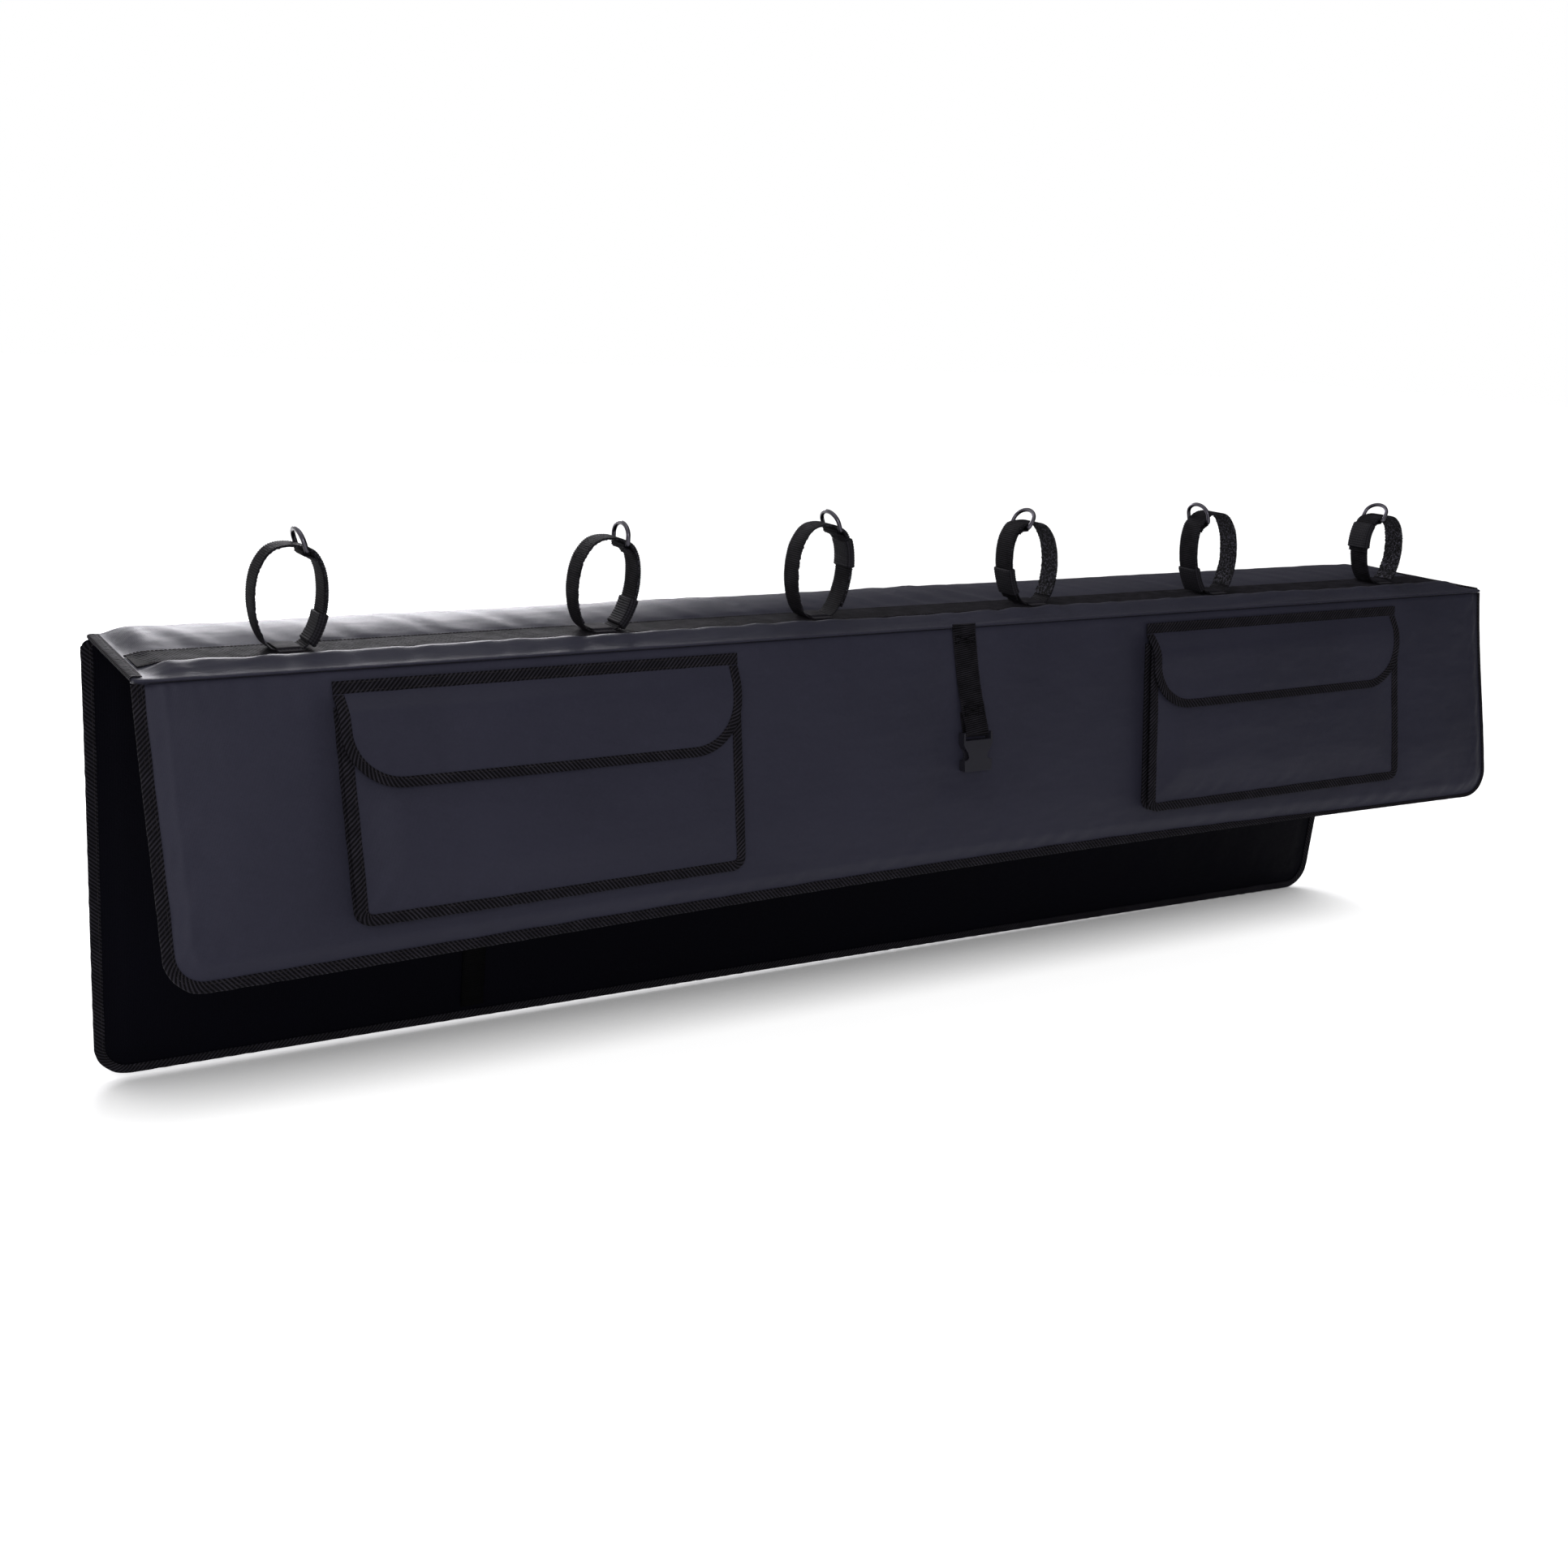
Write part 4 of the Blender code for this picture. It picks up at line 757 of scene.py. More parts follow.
class Panel:
    """A flap: v runs down from its seam, n runs out from its lining face."""

    def __init__(self, side, drop, half, splay, ear):
        self.side, self.drop, self.half, self.splay, self.ear = side, drop, half, splay, ear
        self.is_front = side < 0
        self.word = "front" if self.is_front else "rear"

    def angle(self, x, v):
        share = x / HALF_LENGTH
        middle, slope, bow = self.splay
        degrees = middle + slope * share + bow * share * share
        return np.radians(degrees) * (SPLAY_AT_ENDS + SPLAY_BELLY * np.sin(np.pi * v / self.drop))

    def place(self, x, v, n):
        x, v, n = np.broadcast_arrays(*(np.asarray(a, float) for a in (x, v, n)))
        out = 0.0
        down = 0.0
        for i in range(6):
            turn = self.angle(x, (i + 0.5) / 6 * v)
            out = out + np.sin(turn) * v / 6
            down = down + np.cos(turn) * v / 6
        turn = self.angle(x, v)
        lift = n - FLAP_PAD
        reach = HALF_DEPTH + out + lift * np.cos(turn)
        return np.stack((x, self.side * reach, -GAP - down + lift * np.sin(turn)), -1)

    def inset(self, v):
        low = np.clip(v - (self.drop - CORNER_RADIUS), 0.0, CORNER_RADIUS)
        total = CORNER_RADIUS - np.sqrt(CORNER_RADIUS ** 2 - low ** 2)
        high = np.clip(self.ear - v, 0.0, self.ear)
        return total + self.ear - np.sqrt(self.ear ** 2 - high ** 2)

    def trim(self, x):
        """Width of tape in view: the front flap's edge rolls under towards its right end."""
        return TRIM * (1 - 0.55 * ease((x - 0.15) / 0.5)) if self.is_front else TRIM + 0 * x

    def near(self, x, v):
        """Distance to the bound edge."""
        over_x = np.abs(x) - (self.half - CORNER_RADIUS)
        over_v = v - (self.drop - CORNER_RADIUS)
        square = np.minimum(self.half - np.abs(x), self.drop - v)
        corner = CORNER_RADIUS - np.hypot(over_x, over_v)
        return np.where((over_x > 0) & (over_v > 0), corner, square)

    def grid(self, coarse=1):
        """Dense places over the flap, closer together near its edges; coarse spreads the inner ones."""
        across = crowded(self.half, 0.036, 96 // coarse, coarse)
        low = np.arange(0, 0.046, 0.002 * coarse)
        seam = np.array([0, 0.0005, 0.001, 0.0018, 0.0028, 0.004, 0.006, 0.009, 0.0125])
        steps = int((self.drop - 0.044 - 0.0125) / (0.0060 * coarse))
        down = np.concatenate((seam, np.linspace(0.0125, self.drop - low[-1], steps)[1:-1], (self.drop - low)[::-1]))
        x = across[None, :] / self.half * (self.half - self.inset(down))[:, None]
        return x, np.repeat(down[:, None], len(across), 1)


FRONT = Panel(-1, FRONT_DROP, HALF_LENGTH, FRONT_SPLAY, 0.0)
REAR = Panel(1, REAR_DROP, HALF_LENGTH + REAR_EAR, REAR_SPLAY, REAR_EAR_RADIUS)


def edge_line(half, top, foot, corner_x, corner_v, step=0.005, inset=None):
    """Outline down one end, round the corner, along the foot and up: x, v and inward direction."""
    straight = np.linspace(top, foot - corner_v, max(int((foot - corner_v - top) / step), 2))
    pulled = inset(straight) if inset else 0.0 * straight
    left = np.stack((-(half - pulled), straight, 1 + 0 * straight, 0 * straight), 1)
    turn = np.radians(np.linspace(0, 90, 15)[1:-1])
    inward = unit(np.stack((np.cos(turn) * corner_v, -np.sin(turn) * corner_x), 1))
    spots = np.stack((-(half - corner_x + corner_x * np.cos(turn)), foot - corner_v + corner_v * np.sin(turn)), 1)
    arc = np.concatenate((spots, inward), 1)
    run = np.linspace(-(half - corner_x), half - corner_x, int(2 * (half - corner_x) / step) + 2)
    low = np.stack((run, foot + 0 * run, 0 * run, -1 + 0 * run), 1)
    sides = np.concatenate((left, arc))
    other = (sides * np.array([-1, 1, -1, 1]))[::-1]
    return np.concatenate((sides, low, other))


def fold_line(width, low, high, reach, inner_width=None, groove=0.0):
    """Middle line of folded tape: in w from the edge inwards and n, over the outer leg to the inner one."""
    back = inner_width or width
    outer = np.linspace(width, 0.0004, 11)
    dip = groove * np.exp(-((outer - (width - 0.0024)) / 0.0011) ** 2)
    top = np.stack((outer, high + 0.00035 * np.sin(np.pi * outer / width) - dip), 1)
    turn = np.radians(np.linspace(90, 270, 7))[1:-1]
    middle, half = (high + low) / 2, (high - low) / 2
    bend = np.stack((reach * np.cos(turn), middle + half * np.sin(turn)), 1)
    inner = np.linspace(0.0004, back, 5)
    bottom = np.stack((inner, low - 0.00015 * np.sin(np.pi * inner / back)), 1)
    return np.concatenate((top, bend, bottom))


EDGE_FOLD = fold_line(TRIM, TAPE / 2, TAPE_STACK - TAPE / 2, 0.0009, groove=0.00035)


def folded_tape(name, node, panel, edge, section, seed, rise=0.0, narrow=None):
    """Tape swept round an outline on a panel, a little wavy; narrow gives its share of the width at x."""
    run = lengths(edge[:, :2])
    loop = thick_line(section, TAPE)
    rings = []
    for (x, v, ix, iv), s in zip(edge, run):
        wave = 0.00028 * ripple(s, 0.030, seed)
        pull = 0.00022 * ripple(s, 0.017, seed + 50)
        w = loop[:, 0] * (1 + 0.03 * ripple(s, 0.05, seed + 9)) + pull * (loop[:, 0] < 0.002)
        w = w * narrow(x) if narrow else w
        bulge = wave * np.sin(np.pi * np.clip(loop[:, 0], 0, TRIM) / TRIM)
        rings.append(panel.place(x + ix * w, v + iv * w, rise + loop[:, 1] + bulge))
    return loft(name, rings, "tape", node)


def spread(half, count, lean):
    """Places from -half to half in each row, closer together near both ends."""
    turn = np.linspace(-np.pi / 2, np.pi / 2, count)
    return (np.sin(turn) * lean + np.linspace(-1, 1, count) * (1 - lean))[None, :] * half[:, None]


def stitch_line(panel, edge, w, n):
    """Points on a panel at a distance in from an outline."""
    return panel.place(edge[:, 0] + edge[:, 2] * w, edge[:, 1] + edge[:, 3] * w, n)


def free_share(x, v):
    """1 where the front flap's cover is free to swell, 0 under the pockets and the tie strap."""
    share = 1.0
    boxes = (
        (-POCKET_PLACE, POCKET_HALF + 0.002, POCKET_FOOT + 0.002),
        (POCKET_PLACE, POCKET_HALF + 0.002, POCKET_FOOT + 0.002),
        (TIE_MIDDLE, 0.026, 0.150),
    )
    for middle, half, foot in boxes:
        away = np.maximum(np.abs(x - middle) - half, v - foot)
        share = share * ease(away / 0.022)
    return share


def panel_pad(panel, sizes):
    """Crowned closed form of cover and foam, drawn in at its tape and rolled at its seam."""
    x, v = panel.grid()
    near = panel.near(x, v)
    tape = panel.trim(x)
    rise = ease((near - tape - 0.0005) / 0.0150) ** 0.8
    n = EDGE_STACK + (FLAP_PAD - EDGE_STACK) * rise
    seam = 0.0026 * (1 - np.sqrt(1 - (1 - np.clip(v / 0.006, 0, 1)) ** 2))
    share = free_share(x, v) if panel.is_front else 1.0 + 0 * x
    run = x + 0.6 * v
    crown = sizes.crown * ease((near - 0.02) / 0.05) * ease(v / 0.03)
    waves = sizes.unevenness * swell(x, v, 0.24, 11 if panel.is_front else 12) * ease((near - 0.012) / 0.05)
    pucker = sizes.pucker * ripple(run, 0.021, 21) * np.exp(-np.clip(near - 0.015, 0, 1) / 0.011)
    pucker = pucker * ease((near - tape - 0.0005) / 0.006)
    gather = 0.0005 * ripple(x, 0.016, 23) * np.exp(-v / 0.010) * ease(v / 0.003)
    n = n - seam + gather * share + share * (crown + waves + pucker)
    n = np.where(near < tape + 0.001, np.minimum(n, EDGE_STACK + 0.0001), n)
    n = n + share * billow(panel, x, v)
    low = pressed_floor(near) + LINING + GAP
    side = panel.word
    upper, lower = panel.place(x, v, n), panel.place(x, v, low)
    pad = shell(f"{side}_pad", upper, lower, "cover", f"{side}_cover", f"{side}_foam")


def billow(panel, x, v):
    """How far a pressed sheet stands over the panel at each place, from a cloth simulation."""
    spots_x, spots_v, rise = simulate_sheet(panel)
    column = np.clip(np.interp(x, spots_x, np.arange(len(spots_x))), 0, len(spots_x) - 1.001)
    row = np.clip(np.interp(v, spots_v, np.arange(len(spots_v))), 0, len(spots_v) - 1.001)
    i, j = row.astype(int), column.astype(int)
    a, b = ease(row - i), ease(column - j)
    upper = rise[i, j] * (1 - b) + rise[i, j + 1] * b
    lower = rise[i + 1, j] * (1 - b) + rise[i + 1, j + 1] * b
    return upper * (1 - a) + lower * a


CLOTH = {
    "quality": 4, "mass": 0.15, "tension_stiffness": 15, "compression_stiffness": 15, "shear_stiffness": 8,
    "bending_stiffness": 0.08, "shrink_min": -0.012, "use_pressure": True, "uniform_pressure_force": 2.0,
    "vertex_group_mass": "held",
}
CLOTH_FRAMES = 20
BILLOW = 0.0026
BILLOW_LIMIT = 0.0034


def simulate_sheet(panel):
    """A slack sheet held at the panel's bound edges, blown up a little and left to crease."""
    step = 0.008 if panel.is_front else 0.009
    spots_x = np.linspace(-panel.half + 0.016, panel.half - 0.016, int(2 * panel.half / step))
    spots_v = np.linspace(0.0, panel.drop - 0.016, int(panel.drop / step))
    rng = np.random.default_rng(5 if panel.is_front else 6)
    x, v = np.meshgrid(spots_x, spots_v)
    start = 0.0004 * rng.standard_normal(x.shape)
    points = np.stack((x, v, start), -1).reshape(-1, 3)
    rows, columns = x.shape
    index = np.arange(rows * columns).reshape(rows, columns)
    faces = np.stack((index[:-1, :-1], index[:-1, 1:], index[1:, 1:], index[1:, :-1]), -1).reshape(-1, 4)
    sheet = put("slack_sheet", plain_mesh("slack_sheet", points.tolist(), [], faces.tolist()))
    held = np.zeros((rows, columns), bool)
    held[[0, -1], :] = True
    held[:, [0, -1]] = True
    held |= (free_share(x, v) < 0.02) if panel.is_front else False
    group = sheet.vertex_groups.new(name="held")
    group.add(index[held].tolist(), 1.0, "REPLACE")
    cloth = sheet.modifiers.new("Cloth", "CLOTH")
    assign(cloth.settings, CLOTH)
    cloth.settings.effector_weights.gravity = 0.0
    cloth.collision_settings.use_collision = False
    assign(cloth.point_cache, {"frame_start": 1, "frame_end": CLOTH_FRAMES})
    for moment in range(1, CLOTH_FRAMES + 1):
        bpy.context.scene.frame_set(moment)
    shaped = sheet.evaluated_get(bpy.context.evaluated_depsgraph_get()).to_mesh()
    co = np.empty(len(shaped.vertices) * 3)
    shaped.vertices.foreach_get("co", co)
    rise = co.reshape(rows, columns, 3)[..., 2].copy()
    bpy.data.objects.remove(sheet, do_unlink=True)
    bpy.context.scene.frame_set(1)
    rise = np.abs(rise)
    rise = rise / max(np.percentile(rise, 98), 1e-6) * BILLOW
    return spots_x, spots_v, np.clip(rise, 0.0, BILLOW_LIMIT)


def panel_lining(panel, sizes):
    """Thin sheet behind the pad, gathered into its tape and creased down its length."""
    x, v = panel.grid(2)
    near = panel.near(x, v)
    seed = 31 if panel.is_front else 32
    around = np.where(panel.half - np.abs(x) < panel.drop - v, v * 1.0, x * 1.0)
    pucker = 1.5 * sizes.pucker * np.abs(ripple(around, 0.034, seed)) * np.exp(-np.clip(near - 0.018, 0, 1) / 0.026)
    creases = 0.0013 * np.clip(ripple(x, 0.11, seed + 2) - 0.35, 0, 2) * (0.4 + 0.6 * np.sin(np.pi * v / panel.drop))
    creases = creases + 0.0010 * np.clip(swell(x, v * 0.4, 0.20, seed + 4), 0, 2)
    loose = ease((near - 0.0165) / 0.02) * ease((v - 0.012) / 0.03)
    strap, half, slope = (TIE_MIDDLE, 0.020, 0.02) if panel.is_front else (REAR_STRAP_PLACE, 0.0135, 0.006)
    loose = loose * ease((np.abs(x - strap) - half) / slope)
    inner = pressed_floor(near) - loose * (pucker + creases)
    upper, lower = panel.place(x, v, inner + LINING), panel.place(x, v, inner)
    return shell(f"{panel.word}_lining_sheet", upper, lower, "lining", f"{panel.word}_lining")


def panel_tape(panel):
    """Folded tape round the flap's free edges, with a row of stitches on each side."""
    side = panel.word
    edge = edge_line(panel.half, 0.0, panel.drop, CORNER_RADIUS, CORNER_RADIUS, 0.0065, panel.inset)
    tape = folded_tape(f"{side}_tape", f"{side}_binding", panel, edge, EDGE_FOLD,
                       41 if panel.is_front else 42, narrow=lambda x: panel.trim(x) / TRIM)
    share = panel.trim(edge[:, 0]) / TRIM
    rows = ((TRIM - STITCH_IN, TAPE_STACK), (0.0030, TAPE_STACK + 0.0001), (TRIM - STITCH_IN, -0.0001))
    lines = [stitch_line(panel, edge, w * share, n) for w, n in rows]
    return tape, repeat_along(f"{side}_tape_stitches", lines, "stitch", "thread", **THREAD)


def pressed_floor(near):
    """Height of a panel's underside near its bound edge, where the tape's inner leg takes up room."""
    return (TAPE + GAP) * (1 - ease((near - PRESSED) / PRESSED_SLOPE))


def end_rise(near):
    """Share of full height of the top panel near its bound ends."""
    return ease((near - TRIM - 0.0005) / RISE_SLOPE)


def top_heights(x, y, sizes):
    """How high the top cover stands: pressed at its ends, puffed between the strip and the seams."""
    near = HALF_LENGTH - np.abs(x)
    rise = end_rise(near) ** 0.8
    z = EDGE_STACK + (TOP_PAD - EDGE_STACK) * rise
    front = np.clip((y + HALF_DEPTH) / (HALF_DEPTH + STRIP_PLACE - STRIP_WIDTH / 2 - 0.002), 0, 1)
    back = np.clip((HALF_DEPTH - y) / (HALF_DEPTH - STRIP_PLACE - STRIP_WIDTH / 2 - 0.002), 0, 1)
    puff = 0.0042 + 0.0036 * ease((0.2 - x) / 0.6)
    arch = 0.0050 * np.sin(np.pi * front ** 2.6) ** 0.9 + puff * np.sin(np.pi * back) ** 0.9
    droop = 0.0036 * (1 - front) ** 1.2 * rise
    beside = np.abs(y - STRIP_PLACE) - STRIP_WIDTH / 2
    free = ease(beside / 0.007)
    loose = ease((near - TRIM - 0.001) / 0.026)
    waves = sizes.unevenness * 1.2 * swell(x, y, 0.19, 61) + 0.0006 * ripple(x + 0.5 * y, 0.030, 62)
    fold = 0.0011 * np.clip(ripple(x * 0.8 - y * 0.6, 0.10, 64), -0.8, 1.5)
    fold = fold * np.exp(-np.clip(near - 0.02, 0, 1) / 0.07)
    pucker = 0.5 * sizes.pucker * ripple(y, 0.026, 63) * np.exp(-np.clip(near - 0.016, 0, 1) / 0.014)
    creases = 0.0005 * ripple(y - 0.10 * x, 0.012, 66) * ease(front / 0.2) * ease((1 - front) / 0.3)
    creases = creases * np.clip(ripple(x, 0.34, 67), 0, 1.2)
    return z - droop + free * loose * (arch + creases + waves * np.clip(arch / 0.002, 0, 1) + fold + pucker)


def top_pad(sizes):
    """Top cover and foam: rolled over at both long seams and flat under the webbing strip."""
    turn = np.radians(np.linspace(-60, 90, 9))
    strip_low, strip_high = STRIP_PLACE - STRIP_WIDTH / 2, STRIP_PLACE + STRIP_WIDTH / 2
    inner = np.concatenate((
        np.linspace(-HALF_DEPTH + ROLL, strip_low, 15), np.linspace(strip_low, strip_high, 5)[1:-1],
        np.linspace(strip_high, HALF_DEPTH - ROLL, 28),
    ))
    rings = []
    for x in crowded(HALF_LENGTH, 0.046, 105):
        near = HALF_LENGTH - abs(x)
        full = end_rise(near)
        z = top_heights(np.full(len(inner), x), inner, sizes)
        wave = 0.0004 * ripple(x, 0.020, 65) * full
        roll = HALF_DEPTH - ROLL + (ROLL + 0.0010 * full + wave) * np.cos(turn)
        front_z, back_z = (z[end] - z[end] / 2 * (1 - np.sin(turn)) for end in (0, -1))
        y = np.concatenate((-roll[:-1], inner, roll[::-1][1:]))
        high = np.concatenate((front_z[:-1], z, back_z[::-1][1:]))
        floor = pressed_floor(near) + LINING + GAP
        low = np.minimum(np.full(len(y), floor), high - 0.0002)
        low_y = np.clip(y, -HALF_DEPTH + 0.0035, HALF_DEPTH - 0.0035)
        fall = np.sin(np.where(low_y < 0, FRONT.angle(x, 0.0), REAR.angle(x, 0.0)))
        under = -GAP - 0.0001 - (HALF_DEPTH - np.abs(low_y)) * fall
        low = np.where(np.abs(low_y) > HALF_DEPTH - FLAP_PAD + 0.0002, under, low)
        corner = max(TOP_CORNER - near, 0.0)
        pull = 1 - (TOP_CORNER - math.sqrt(TOP_CORNER ** 2 - corner ** 2)) / HALF_DEPTH
        rings.append(np.concatenate((xyz(x, y * pull, high), xyz(x, low_y * pull, low)[::-1])))
    pad = loft("top_pad", rings, "cover", "top_cover", "top_foam", sharp=60)


def top_lining():
    """Lining of the top panel, which lies flat on the tailgate."""
    x, y = np.meshgrid(np.linspace(-HALF_LENGTH, HALF_LENGTH, 200), np.linspace(-TOP_REACH, TOP_REACH, 24))
    dent = 0.0001 * np.clip(swell(x, y, 0.12, 71), -1, 0)
    lower = xyz(x, y, pressed_floor(HALF_LENGTH - np.abs(x)) - dent)
    return shell("top_lining_sheet", lower + np.array([0, 0, LINING]), lower, "lining", "top_lining")


def top_tapes():
    """Folded tape over the two ends of the top panel, with its stitches."""
    section = thick_line(EDGE_FOLD, TAPE)
    lines = []
    for side, word in ((-1, "left"), (1, "right")):
        rings = []
        for y in np.linspace(-TOP_REACH, TOP_REACH, 44):
            wave = 0.0003 * ripple(y, 0.025, 81 + side)
            lift = wave * np.sin(np.pi * np.clip(section[:, 0], 0, TRIM) / TRIM)
            rings.append(xyz(side * (HALF_LENGTH - section[:, 0]), y, section[:, 1] + lift))
        loft(f"top_tape_{word}", rings, "tape", f"top_binding_{word}")
        run = np.linspace(-TOP_REACH + 0.002, TOP_REACH - 0.002, 60)
        for z in (TAPE_STACK - 0.0002, -0.0001):
            lines.append(xyz(side * (HALF_LENGTH - TRIM + STITCH_IN), run, z))
    return repeat_along("top_tape_stitches", lines, "stitch", "thread", **THREAD)


# Webbing


def webbing(name, line, across, half, thickness, *nodes, step=0.0021, slant=0.0, ribs="web_rib"):
    """Ribbed webbing along a line of points in space: a thin core and a rounded bar at each rib.

    across is one direction for the whole line; slant turns the ribs on the webbing's face.
    """
    line = respace(soften(line), 0.0018)
    course = unit(np.gradient(line, axis=0))
    side = unit(np.asarray(across, float) - (course @ np.asarray(across, float))[:, None] * course)
    out = np.cross(course, side)
    square = blunt_section(8, half - 0.0003, 0.66 * thickness / 2, 0.25)
    rings = line[:, None] + side[:, None] * square[None, :, :1] + out[:, None] * square[None, :, 1:]
    # The core takes the webbing's darker copy: painted shade between the ribs
    loft(f"{name}_core", rings, "web_core", *nodes)
    spare = int(half * math.sin(slant) / 0.0018)
    repeat_along(
        f"{name}_ribs", [line[spare:len(line) - spare]], "rib", ribs, "strap_webbing", Step=step,
        Length=step * 0.74, Width=2 * half / math.cos(slant), Height=thickness, Slant=slant,
        Across=tuple(float(c) for c in across),
    )


def anchor_strip():
    """Wide webbing sewn along the top panel."""
    run = np.linspace(-(HALF_LENGTH - 0.0112), HALF_LENGTH - 0.0112, 400)
    rise = end_rise(HALF_LENGTH - np.abs(run)) ** 0.8
    z = EDGE_STACK + (TOP_PAD - EDGE_STACK) * rise + GAP + STRIP_THICKNESS / 2
    line = xyz(run, STRIP_PLACE + 0.0006 * ripple(run, 0.35, 95), z)
    webbing("anchor", line, (0.0, 1.0, 0.0), STRIP_WIDTH / 2 - 0.0006, STRIP_THICKNESS, "anchor_strip",
            step=0.0028, slant=0.32)
    lines = [line + np.array([0, side * 0.0226, STRIP_THICKNESS / 2 + 0.0001]) for side in (-1, 1)]
    repeat_along("anchor_stitches", lines, "stitch", "thread", "strap_webbing", Step=0.0036, Length=0.0028,
                 Width=0.0009, Height=0.0007)


def smooth_path(points, steps):
    """Points on a smooth curve through the given points."""
    points = np.asarray(points, float)
    result = []
    for i in range(len(points) - 1):
        before, start = points[max(i - 1, 0)], points[i]
        end, after = points[i + 1], points[min(i + 2, len(points) - 1)]
        for k in range(steps):
            t = k / steps
            result.append(0.5 * (
                2 * start + (end - before) * t
                + (2 * before - 5 * start + 4 * end - after) * t ** 2
                + (3 * start - before - 3 * end + after) * t ** 3
            ))
    result.append(points[-1])
    return np.array(result)


class StrapLoop:
    """Middle line of one bike strap in the plane across it, with its anchor at the origin."""

    def __init__(self, form, height):
        self.ring_side, lean, self.ring_share, self.keeper_share, self.tail_share = form
        base = STRAP_THICKNESS / 2 + GAP
        half = [(sx * STRAP_SPAN / 2, base + sz * height) for sx, sz in LOOP_SHAPE]
        other = [(-x, z) for x, z in half]
        curve = smooth_path([other[1], *half, other[-2]], 5)[5:-5]
        slant = lean / height
        self.right = self.placed(curve, slant, base)
        self.left = self.placed(curve * np.array([-1, 1]), slant, base)

    def placed(self, line, slant, base):
        high = np.maximum(line[:, 1], base)
        return np.stack((self.ring_side * line[:, 0] + slant * (high - base), high), 1)

    def at(self, line, share):
        run = lengths(line)
        spot = share * run[-1]
        i = min(int(np.searchsorted(run, spot, side="left")) - 1, len(line) - 2)
        i = max(i, 0)
        step = unit(line[i + 1] - line[i])
        return line[i] + step * (spot - run[i]), step

    def between(self, line, first, last):
        run = lengths(line)
        inner = [p for p, r in zip(line[1:-1], run[1:-1]) if first * run[-1] + 0.0008 < r < last * run[-1] - 0.0008]
        return np.array([self.at(line, first)[0], *inner, self.at(line, last)[0]])

    def outwards(self, step):
        return np.array((-step[1], step[0])) * -self.ring_side

    def parts(self):
        """The strap's line in two parts: fold and inner layer to the anchor, then loop and tail."""
        reach = RING_WIRE / math.cos(math.pi / 8) + RING_SEAT + STRAP_THICKNESS / 2
        point, step = self.at(self.right, self.ring_share)
        out = self.outwards(step)
        seat = point - out * reach
        total = lengths(self.right)[-1]
        first = []
        for share, drop in ((1.0, LAYER_STEP), (0.62, LAYER_STEP * 1.2)):
            spot, course = self.at(self.right, self.ring_share - share * FOLD_LENGTH / total)
            first.append(spot - self.outwards(course) * drop)
        for k in range(15):
            turn = math.pi * ((1 + FOLD_WRAP) * k / 14 - FOLD_WRAP)
            first.append(seat - (out * math.cos(turn) - step * math.sin(turn)) * reach)
        down = self.between(self.right, 0.0, self.ring_share - 0.004)[::-1]
        first = np.concatenate((first, down[1:]))
        second = [down[-1], *self.left[1:-1]]
        tail = self.between(self.right, self.tail_share, 1.0)[::-1]
        plump = PLUMP * ease((self.ring_share + 0.04 - 1 + lengths(tail) / total) / 0.10)
        for i, p in enumerate(tail):
            course = tail[max(i - 1, 0)] - tail[min(i + 1, len(tail) - 1)]
            second.append(p + self.outwards(unit(course)) * plump[i])
        return np.array(first), np.array(second)


def strap_webbing(name, loop, place):
    """Ribbed strap with loop pile on the inner face of its long run."""
    first, second = loop.parts()
    smooth = respace(soften(second), 0.0013)
    out = left_normals(smooth) * loop.ring_side
    for word, line, thickness, nodes in (("inner", first, STRAP_THICKNESS, [f"{name}_webbing"]),
                                         ("outer", smooth + out * 0.00015, STRAP_THICKNESS - 0.0002, [])):
        line = place + xyz(line[:, 0], 0.0, line[:, 1])
        webbing(f"{name}_{word}", line, (0, 1, 0), STRAP_HALF, thickness, *nodes)
    start = int(len(smooth) * 0.10)
    middle = smooth[start:-2] - out[start:-2] * 0.00062
    normal = out[start:-2]
    rng = np.random.default_rng(len(name) + int(abs(place[0]) * 1000))
    half = STRAP_HALF - 0.0004
    across = np.linspace(-half, half, 11)
    fuzz = 0.00020 * rng.standard_normal((len(middle), 11))
    frayed = across[None, :] * (1 + 0.03 * rng.standard_normal((len(middle), 1)))
    grids = []
    for lift in (0.00015 + 0 * fuzz, -0.00070 + fuzz):
        spot = middle[:, None] + normal[:, None] * lift[..., None]
        grids.append(place + xyz(spot[..., 0], frayed, spot[..., 1]))
    shell(f"{name}_pile", *grids, "pile", sharp=80)


